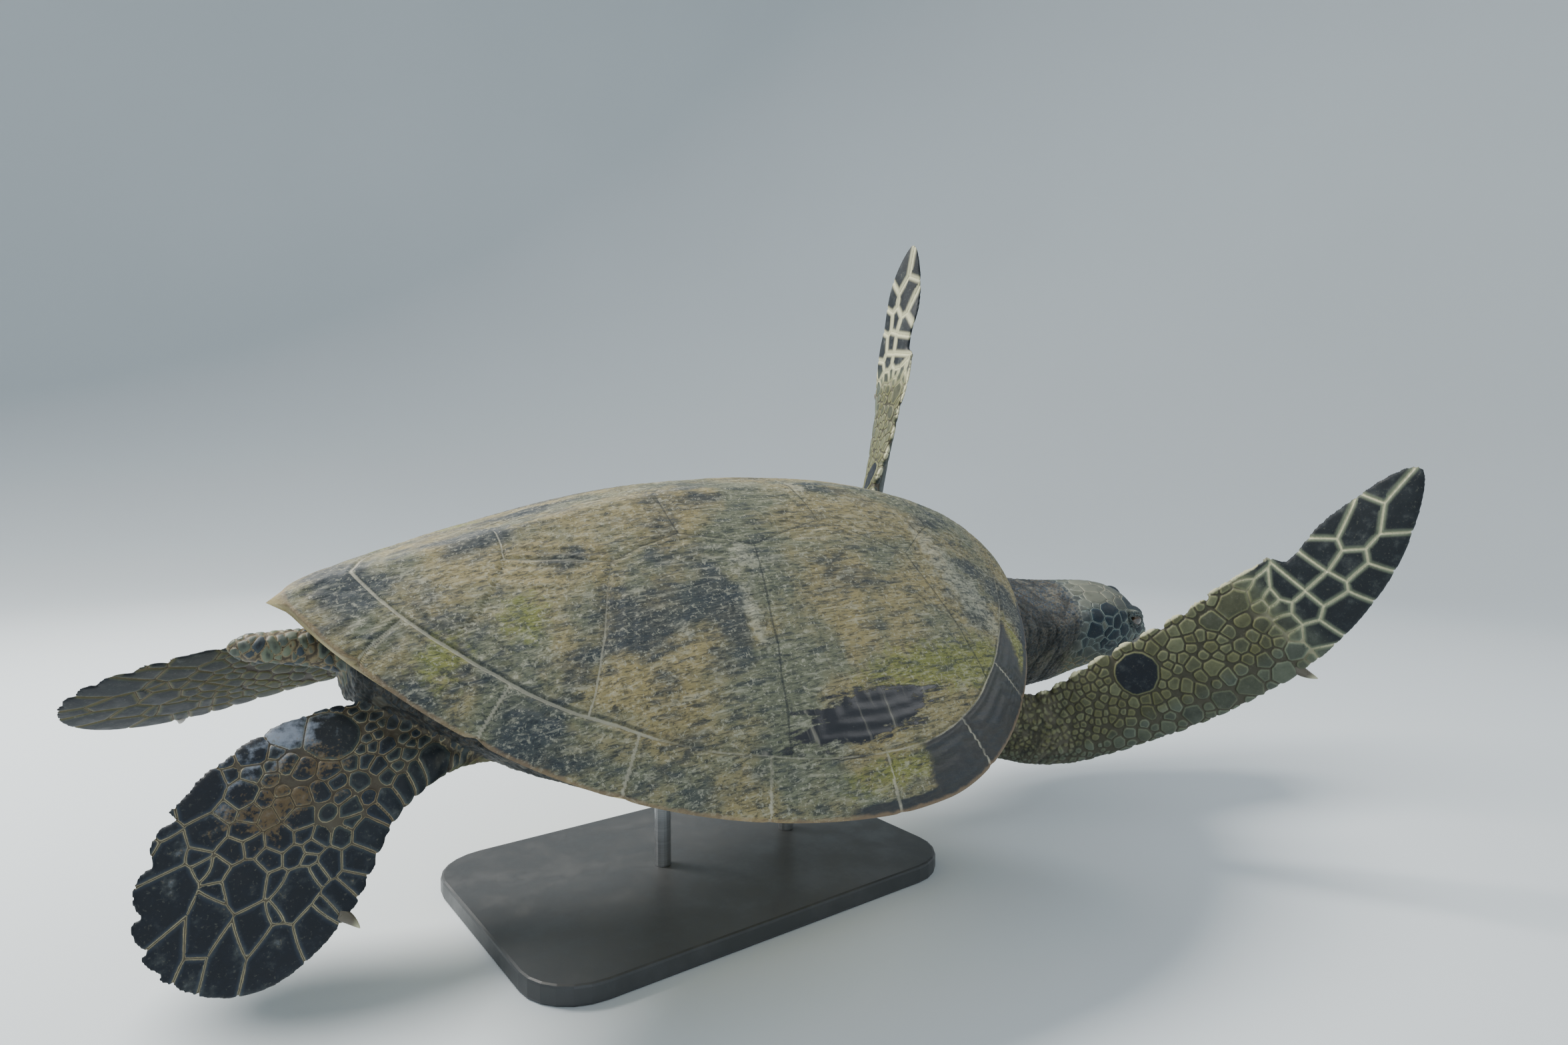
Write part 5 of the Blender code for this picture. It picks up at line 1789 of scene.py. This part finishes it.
def plastron_mesh():
    """The plastron and its bridges, with shallow seams between the plates."""
    rows, across = (230, 181) if FINE else (120, 101)
    x = stations(rows, PLASTRON_REAR, PLASTRON_FRONT)
    share = bridge(x)
    edge = mix(plastron_lobe(x), 0.92 * half_width(x), share)
    low = belly_height(x)
    high = mix(low + 0.014, rim_height(x) - 0.5 * RIM_WALL, share)
    wall = PLASTRON_WALL * np.clip(8 * plastron_lobe(x) / PLASTRON_LOBE, 0.35, 1)
    inner_edge = np.maximum(edge - wall, 0.6 * edge)
    v = np.linspace(-1, 1, across)
    outer = rings_of(x, edge[:, None] * v, low[:, None] + (high - low)[:, None] * np.abs(v) ** 3.2)
    t = np.linspace(1, -1, 33)[1:-1]
    floor = (low + wall)[:, None] + (high - low - 0.3 * wall)[:, None] * np.abs(t) ** 3.2
    inner = rings_of(x, inner_edge[:, None] * t, floor)
    flat = outer.reshape(-1, 3)
    side = np.abs(flat[:, 1])
    lobe = np.repeat(np.maximum(plastron_lobe(x), 0.02), across)
    plate_row = np.interp(
        flat[:, 0] + 0.02 * side / 0.2 + rough(flat * 12, 2, 51) * 0.003,
        PLATE_SEAMS,
        np.arange(len(PLATE_SEAMS)),
    )
    outer_line = side - 0.74 * lobe
    bridge_row = np.interp(flat[:, 0], BRIDGE_SEAMS, np.arange(len(BRIDGE_SEAMS)))
    inside = outer_line < 0
    seam = np.where(
        inside,
        np.minimum(row_distance(plate_row, 0.11), side),
        row_distance(bridge_row, 0.11),
    )
    seam = np.minimum(seam, np.abs(outer_line))
    groove = 0.0011 * bump(seam * SHELL, 0, 0.0028)
    swell = 0.0009 * rough(flat * 11, 3, 52)
    placed = flat * SHELL
    placed[:, 2] += groove - 0.3 * swell
    rings = np.concatenate([placed.reshape(outer.shape), inner * SHELL], 1)
    ends = [
        np.array((place, 0, belly_height(np.array(place)) + PLASTRON_WALL / 4)) * SHELL
        for place in (PLASTRON_REAR, PLASTRON_FRONT)
    ]
    points, quads, triangles = tube(rings, *ends)
    mesh = mesh_from("plastron_plates", to_world(points), quads, triangles)

    note(mesh, "seam", spread(seam * SHELL * 1000, outer.shape, inner, 20))
    note(mesh, "lie", points)
    tube_map(mesh, rings)
    return mesh


def plastron_finish():
    horn = Finish("sea_turtle_plastron", roughness=0.45, specular_ior_level=0.4)
    lie = horn.kept("lie", "Vector")
    cloud = horn.noise(lie, 11, 5, 0.6, 0.2)
    streak = horn.noise(horn.stretched(lie, 8, 60, 40), 2.0, 5, 0.6)
    fleck = horn.noise(lie, 240, 3, 0.65)
    seam = horn.rise(horn.kept("seam") + (fleck - 0.5) * 1.4, 1.7, 0.4)
    base = horn.cover(
        "plastron_horn",
        (cloud, 0.4, 0.7, 0.5, "belly_skin"),
        (streak, 0.52, 0.72, 0.35, "shell_ochre"),
        (cloud, 0.62, 0.78, 0.45, "shell_olive"),
    )
    base = horn.blend(seam * 0.65, base, shade_of("shell_ochre", 0.7))
    base = horn.cover(base, (fleck, 0.6, 0.75, 0.3, "shell_slate"))
    height = streak * 0.4 + fleck * 0.15 - seam * 0.4
    return horn.finish(base, horn.rise(cloud, 0.3, 0.7, 0.35, 0.55), height, strength=0.45)


# The head's separate pieces, the claws and the stand.


def beak_mesh(name, low, high):
    """The horny sheath of one jaw, cut from the head's form."""
    angles = angles_round(220)
    shares = mix(0.70, 0.9998, np.linspace(0, 1, 110) ** 0.6)
    rings = np.array([head_points(np.full(len(angles), share), angles) for share in shares])
    points, quads, triangles = tube(rings, None, np.array((HEAD_LENGTH * 1.003, 0, -0.017)) * SHELL)
    mesh = mesh_from(name, points, quads, triangles)
    form = bmesh.new()
    form.from_mesh(mesh)
    cuts = (
        ((BEAK_START * SHELL, 0, 0), (-1, 0, 0)),
        ((BEAK_SLANT[0] * SHELL, 0, high * SHELL), (-BEAK_SLANT[1] * (high > 0), 0, 1)),
        ((0, 0, low * SHELL), (0, 0, -1)),
    )
    for place, way in cuts:
        geometry = form.verts[:] + form.edges[:] + form.faces[:]
        cut = bmesh.ops.bisect_plane(form, geom=geometry, plane_co=place, plane_no=way, clear_outer=True)
        edges = [item for item in cut["geom_cut"] if isinstance(item, bmesh.types.BMEdge)]
        bmesh.ops.holes_fill(form, edges=edges)
    bmesh.ops.recalc_face_normals(form, faces=form.faces)
    bmesh.ops.triangulate(form, faces=[face for face in form.faces if len(face.verts) > 4])
    form.to_mesh(mesh)
    form.free()
    local = points_of(mesh)
    out = outward_of(mesh)
    ripple = 0.00022 * rough(local * np.array((140, 320, 40)), 3, 61)
    local += out * ripple[:, None]
    place_points(mesh, to_world(local, head_frame()))
    note(mesh, "lie", local)
    note(mesh, "lip", np.abs(local[:, 2] / SHELL - MOUTH_HEIGHT) * SHELL * 1000)
    mesh.set_sharp_from_angle(angle=math.radians(50))
    return mesh


def beak_finish():
    horn = Finish("sea_turtle_beak", roughness=0.38, specular_ior_level=0.45)
    lie = horn.kept("lie", "Vector")
    stripes = horn.noise(horn.stretched(lie, 90, 120, 14), 2.0, 5, 0.6, 0.3)
    cloud = horn.noise(lie, 60, 4, 0.6)
    base = horn.cover(
        "beak_horn",
        (stripes, 0.42, 0.66, 0.7, "claw_horn"),
        (cloud, 0.5, 0.7, 0.5, "shell_bare"),
        (horn.kept("lip") + cloud, 2.2, 0.8, 0.4, "tan_seam"),
    )
    roughness = horn.rise(cloud, 0.3, 0.7, 0.3, 0.5)
    return horn.finish(base, roughness, stripes * 0.5 + cloud * 0.3, strength=0.35)


def eyeball_mesh(side):
    """An eyeball with a slightly raised clear front."""
    mesh = bpy.data.meshes.new("eyeball")
    form = bmesh.new()
    bmesh.ops.create_uvsphere(form, u_segments=72, v_segments=48, radius=EYE_RADIUS * SHELL)
    form.to_mesh(mesh)
    form.free()
    local = points_of(mesh)
    out, _, _ = eye_axes(side)
    way = unit(local)
    gaze = way @ out
    radius = EYE_RADIUS * SHELL
    local = way * (radius - 0.0004 + 0.0005 * step(gaze, 0.80, 0.97))[:, None]
    place_points(mesh, to_world(local + eye_centre(side), head_frame()))
    note(mesh, "gaze", np.degrees(np.arccos(np.clip(gaze, -1, 1))))
    note(mesh, "lie", local)
    return mesh


def eye_finish():
    wet = {"coat_weight": 1.0, "coat_roughness": 0.02}
    ball = Finish("sea_turtle_eye", roughness=0.06, specular_ior_level=0.6, **wet)
    lie = ball.kept("lie", "Vector")
    gaze = ball.kept("gaze")
    rays = ball.noise(lie, 900, 4, 0.7)
    cloud = ball.noise(lie, 260, 3, 0.6)
    iris = ball.blend(ball.rise(rays, 0.38, 0.64), colour(30, 22, 16), colour(84, 62, 36))
    base = ball.blend(ball.rise(gaze, 12.5, 11.0), iris, colour(4, 4, 6))
    base = ball.blend(ball.rise(gaze + (cloud - 0.5) * 3, 30.0, 34.0), base, colour(24, 20, 20))
    return ball.finish(base, ball.rise(cloud, 0.3, 0.7, 0.04, 0.09))


def claw_mesh(limb, stance):
    """A short curved claw that grows from the leading edge."""
    share, size = stance
    centre, ahead, lead, up = (found[0] for found in limb.sections(np.array([share])))
    half = limb.width(np.array([share]))[0] / 2
    root = centre + lead * (half - CLAW_ROOT * size) * SHELL
    steps = np.linspace(0, 1, 40)
    rings = []
    angles = angles_round(28)
    for step_share in steps[:-1]:
        run = CLAW_LENGTH * step_share
        thick = CLAW_THICKNESS * (1 - step_share**2.1) ** 0.75
        middle = root + (lead * run + ahead * CLAW_BEND * run**2) * SHELL * size
        deep = ahead[None] * (np.cos(angles) * thick)[:, None]
        flat = up[None] * (np.sin(angles) * thick * CLAW_FLATNESS)[:, None]
        rings.append(middle + (deep + flat) * SHELL * size)
    tip = root + (lead * CLAW_LENGTH + ahead * CLAW_ASIDE) * SHELL * size
    rings = np.array(rings)
    points, quads, triangles = tube(rings, None, tip)
    mesh = mesh_from("claw", to_world(points), quads, triangles)
    note(mesh, "lie", points)
    reach = np.concatenate([np.repeat(steps[:-1], len(angles)), [0, 1]])
    note(mesh, "reach", reach)
    tube_map(mesh, rings)
    return mesh


def claw_finish():
    horn = Finish("sea_turtle_claw", roughness=0.32, specular_ior_level=0.5)
    lie = horn.kept("lie", "Vector")
    stripes = horn.noise(lie, 300, 4, 0.6)
    reach = horn.kept("reach")
    layers = (stripes, 0.4, 0.65, 0.6, "beak_horn"), (reach, 0.55, 1.0, 0.7, "cream_seam")
    base = horn.cover("claw_horn", *layers)
    return horn.finish(base, horn.rise(stripes, 0.3, 0.7, 0.26, 0.42), stripes, strength=0.3)


def base_finish():
    """Satin paint with a fine orange-peel and a little dust."""
    painted = Finish("stand_satin_paint", roughness=0.42, specular_ior_level=0.45)
    place = painted.node("ShaderNodeTexCoord", output="Object")
    peel = painted.noise(place, 900, 2, 0.5)
    dust = painted.noise(place, 24, 6, 0.65)
    layers = (dust, 0.45, 0.75, 0.35, colour(84, 86, 88)), (peel, 0.62, 0.75, 0.2, colour(34, 35, 37))
    base = painted.cover("base_paint", *layers)
    roughness = painted.rise(dust, 0.3, 0.7, 0.34, 0.52)
    return painted.finish(base, roughness, peel, strength=0.12, distance=0.0004)


def steel_finish():
    """Brushed steel, its lines running round the rods."""
    steel = Finish("stand_brushed_steel", metallic=1.0, roughness=0.3)
    place = steel.node("ShaderNodeTexCoord", output="Object")
    lines = steel.noise(steel.stretched(place, 6, 6, 900), 1.0, 4, 0.6)
    cloud = steel.noise(place, 30, 4, 0.6)
    base = steel.blend(steel.rise(lines, 0.35, 0.65), colour(168, 170, 173), colour(184, 186, 188))
    roughness = steel.rise(lines + (cloud - 0.5) * 0.5, 0.3, 0.7, 0.30, 0.38)
    return steel.finish(base, roughness, cloud, strength=0.03)


def floor_finish():
    paper = Finish("studio_paper", roughness=0.9, specular_ior_level=0.2)
    place = paper.node("ShaderNodeTexCoord", output="Object")
    fibre = paper.noise(place, 160, 4, 0.6)
    cloud = paper.noise(place, 0.6, 2, 0.5)
    shade = shade_of("floor_paint", 0.97)
    base = paper.blend(paper.rise(cloud, 0.35, 0.65), "floor_paint", shade)
    return paper.finish(base, None, fibre, strength=0.04, distance=0.0005)


class TURTLE_OT_skin(bpy.types.Operator):
    """Make the scaled skin of the head, neck, flippers, tail and the flesh in the shell"""

    bl_idname = "turtle.skin"
    bl_label = "Skin"

    def execute(self, context):
        put("turtle_skin", body_skin(), skin_finish(), "skin", *SKIN_NODES)
        return {"FINISHED"}


class TURTLE_OT_carapace(bpy.types.Operator):
    """Make the carapace with its scutes"""

    bl_idname = "turtle.carapace"
    bl_label = "Carapace"

    def execute(self, context):
        put("carapace_shell", carapace_mesh(), carapace_finish(), "carapace", "carapace")
        return {"FINISHED"}


class TURTLE_OT_plastron(bpy.types.Operator):
    """Make the plastron and its bridges"""

    bl_idname = "turtle.plastron"
    bl_label = "Plastron"

    def execute(self, context):
        put("plastron_plates", plastron_mesh(), plastron_finish(), "plastron", "plastron")
        return {"FINISHED"}


class TURTLE_OT_beak(bpy.types.Operator):
    """Make the two halves of the beak"""

    bl_idname = "turtle.beak"
    bl_label = "Beak"

    def execute(self, context):
        horn = beak_finish()
        halves = (("upper", MOUTH_HEIGHT + 0.0004, BEAK_TOP), ("lower", -0.15, MOUTH_HEIGHT - 0.0004))
        for name, low, high in halves:
            put(f"beak_{name}_horn", beak_mesh(name, low, high), horn, "beak", f"beak_{name}")
        return {"FINISHED"}


class TURTLE_OT_eyes(bpy.types.Operator):
    """Make the two eyeballs"""

    bl_idname = "turtle.eyes"
    bl_label = "Eyes"

    def execute(self, context):
        wet = eye_finish()
        for name, side in (("left", 1), ("right", -1)):
            put(f"eyeball_{name}", eyeball_mesh(side), wet, "eye", f"eye_{name}")
        return {"FINISHED"}


class TURTLE_OT_claws(bpy.types.Operator):
    """Make the four claws"""

    bl_idname = "turtle.claws"
    bl_label = "Claws"

    def execute(self, context):
        horn = claw_finish()
        for name, limb in limbs().items():
            pair, side = name.split("_")
            mesh = claw_mesh(limb, FRONT_CLAW if pair == "front" else HIND_CLAW)
            put(f"{pair}_nail_{side}", mesh, horn, "claw", f"{pair}_claw_{side}")
        return {"FINISHED"}


class TURTLE_OT_stand(bpy.types.Operator):
    """Paint the stand's base and finish its rods and pads"""

    bl_idname = "turtle.stand"
    bl_label = "Stand"

    def execute(self, context):
        painted = base_finish()
        steel = steel_finish()
        for name, node in NODES.items():
            if not name.startswith("stand_"):
                continue
            finish = painted if name == "stand_base" else steel
            node.data.materials.clear()
            node.data.materials.append(finish)
        return {"FINISHED"}


# The camera looks at a point from this far off, turned from +Y and dipped below the level.
VIEW_AIM = Vector((-0.17, 0.0, 0.413))
VIEW_DISTANCE = 0.90
VIEW_TURN = math.radians(-126.7)
VIEW_DIP = math.radians(3.7)
VIEW_LENS = 21.3


def backdrop_mesh():
    """A pale floor that curves up into a wall all round."""
    radius, bend, height = 3.0, 2.4, 6.0
    profile = [(r, 0.0) for r in np.linspace(0.25, radius, 12)]
    profile += [
        (radius + bend * math.sin(a), bend * (1 - math.cos(a)))
        for a in np.linspace(0, math.pi / 2, 24)[1:]
    ]
    profile.append((radius + bend, height))
    angles = angles_round(128)
    rings = np.array([[(r * math.cos(a), r * math.sin(a), z) for a in angles] for r, z in profile])
    rows, count = rings.shape[:2]
    index = np.arange(rows * count).reshape(rows, count)
    ahead = np.roll(index, -1, axis=1)
    quads = np.stack([index[:-1], index[1:], ahead[1:], ahead[:-1]], -1).reshape(-1, 4)
    middle = np.full(count, rows * count)
    triangles = np.stack([index[0], ahead[0], middle], -1)
    points = np.vstack([rings.reshape(-1, 3), (0, 0, 0)])
    return mesh_from("studio_floor", points, quads, triangles)


def lamp(name, place, aim, size, power, tint):
    data = bpy.data.lights.new(name, "AREA")
    with_settings(data, shape="DISK", size=size, energy=power, color=tint)
    made = bpy.data.objects.new(name, data)
    made.location = place
    made.rotation_euler = (Vector(aim) - Vector(place)).to_track_quat("-Z", "Y").to_euler()
    bpy.context.scene.collection.objects.link(made)


class TURTLE_OT_stage(bpy.types.Operator):
    """Make the pale floor and backdrop, the soft lights and the camera"""

    bl_idname = "turtle.stage"
    bl_label = "Stage"

    def execute(self, context):
        floor = bpy.data.objects.new("studio_floor", backdrop_mesh())
        floor.data.shade_smooth()
        floor.data.materials.append(floor_finish())
        context.scene.collection.objects.link(floor)
        lamp("key_light", (1.6, 1.3, 2.7), (0, 0, 0.4), 1.1, 215, (1.0, 0.97, 0.92))
        lamp("fill_light", (-2.4, 0.9, 1.9), (0, -0.1, 0.3), 2.4, 26, (0.92, 0.97, 1.0))
        lamp("head_light", (-1.2, -2.2, 2.2), (0, -0.3, 0.3), 1.8, 24, (1.0, 1.0, 1.0))
        world = bpy.data.worlds.new("studio_world")
        world.use_nodes = True
        background = world.node_tree.nodes["Background"]
        background.inputs["Color"].default_value = (0.80, 0.88, 0.95, 1.0)
        background.inputs["Strength"].default_value = 0.55
        context.scene.world = world
        data = bpy.data.cameras.new("view")
        with_settings(data, lens=VIEW_LENS, sensor_width=36.0, clip_start=0.02)
        camera = bpy.data.objects.new("view", data)
        camera.rotation_euler = (math.pi / 2 - VIEW_DIP, 0.0, VIEW_TURN)
        camera.location = VIEW_AIM + camera.rotation_euler.to_matrix() @ Vector((0, 0, VIEW_DISTANCE))
        context.scene.collection.objects.link(camera)
        context.scene.camera = camera
        return {"FINISHED"}


PIECES = (
    TURTLE_OT_skin,
    TURTLE_OT_carapace,
    TURTLE_OT_plastron,
    TURTLE_OT_beak,
    TURTLE_OT_eyes,
    TURTLE_OT_claws,
    TURTLE_OT_stand,
    TURTLE_OT_stage,
)


class VIEW3D_PT_turtle(bpy.types.Panel):
    """Sizes, colours and pieces of the sea turtle"""

    bl_label = "Sea Turtle"
    bl_idname = "VIEW3D_PT_turtle"
    bl_space_type = "VIEW_3D"
    bl_region_type = "UI"
    bl_category = "Sea Turtle"

    def draw(self, context):
        for group in (context.scene.turtle_sizes, context.scene.turtle_colours):
            box = self.layout.box()
            for name in group.bl_rna.properties.keys():
                if name not in ("rna_type", "name"):
                    box.prop(group, name)
        for piece in PIECES:
            self.layout.operator(piece.bl_idname)


CLASSES = (TurtleSizes, TurtleColours, *PIECES, VIEW3D_PT_turtle)


def register():
    for item in CLASSES:
        bpy.utils.register_class(item)
    bpy.types.Scene.turtle_sizes = bpy.props.PointerProperty(type=TurtleSizes)
    bpy.types.Scene.turtle_colours = bpy.props.PointerProperty(type=TurtleColours)


def unregister():
    del bpy.types.Scene.turtle_colours
    del bpy.types.Scene.turtle_sizes
    for item in reversed(CLASSES):
        bpy.utils.unregister_class(item)


def main():
    register()
    for piece in PIECES:
        group, name = piece.bl_idname.split(".")
        getattr(getattr(bpy.ops, group), name)()


if __name__ == "__main__":
    main()
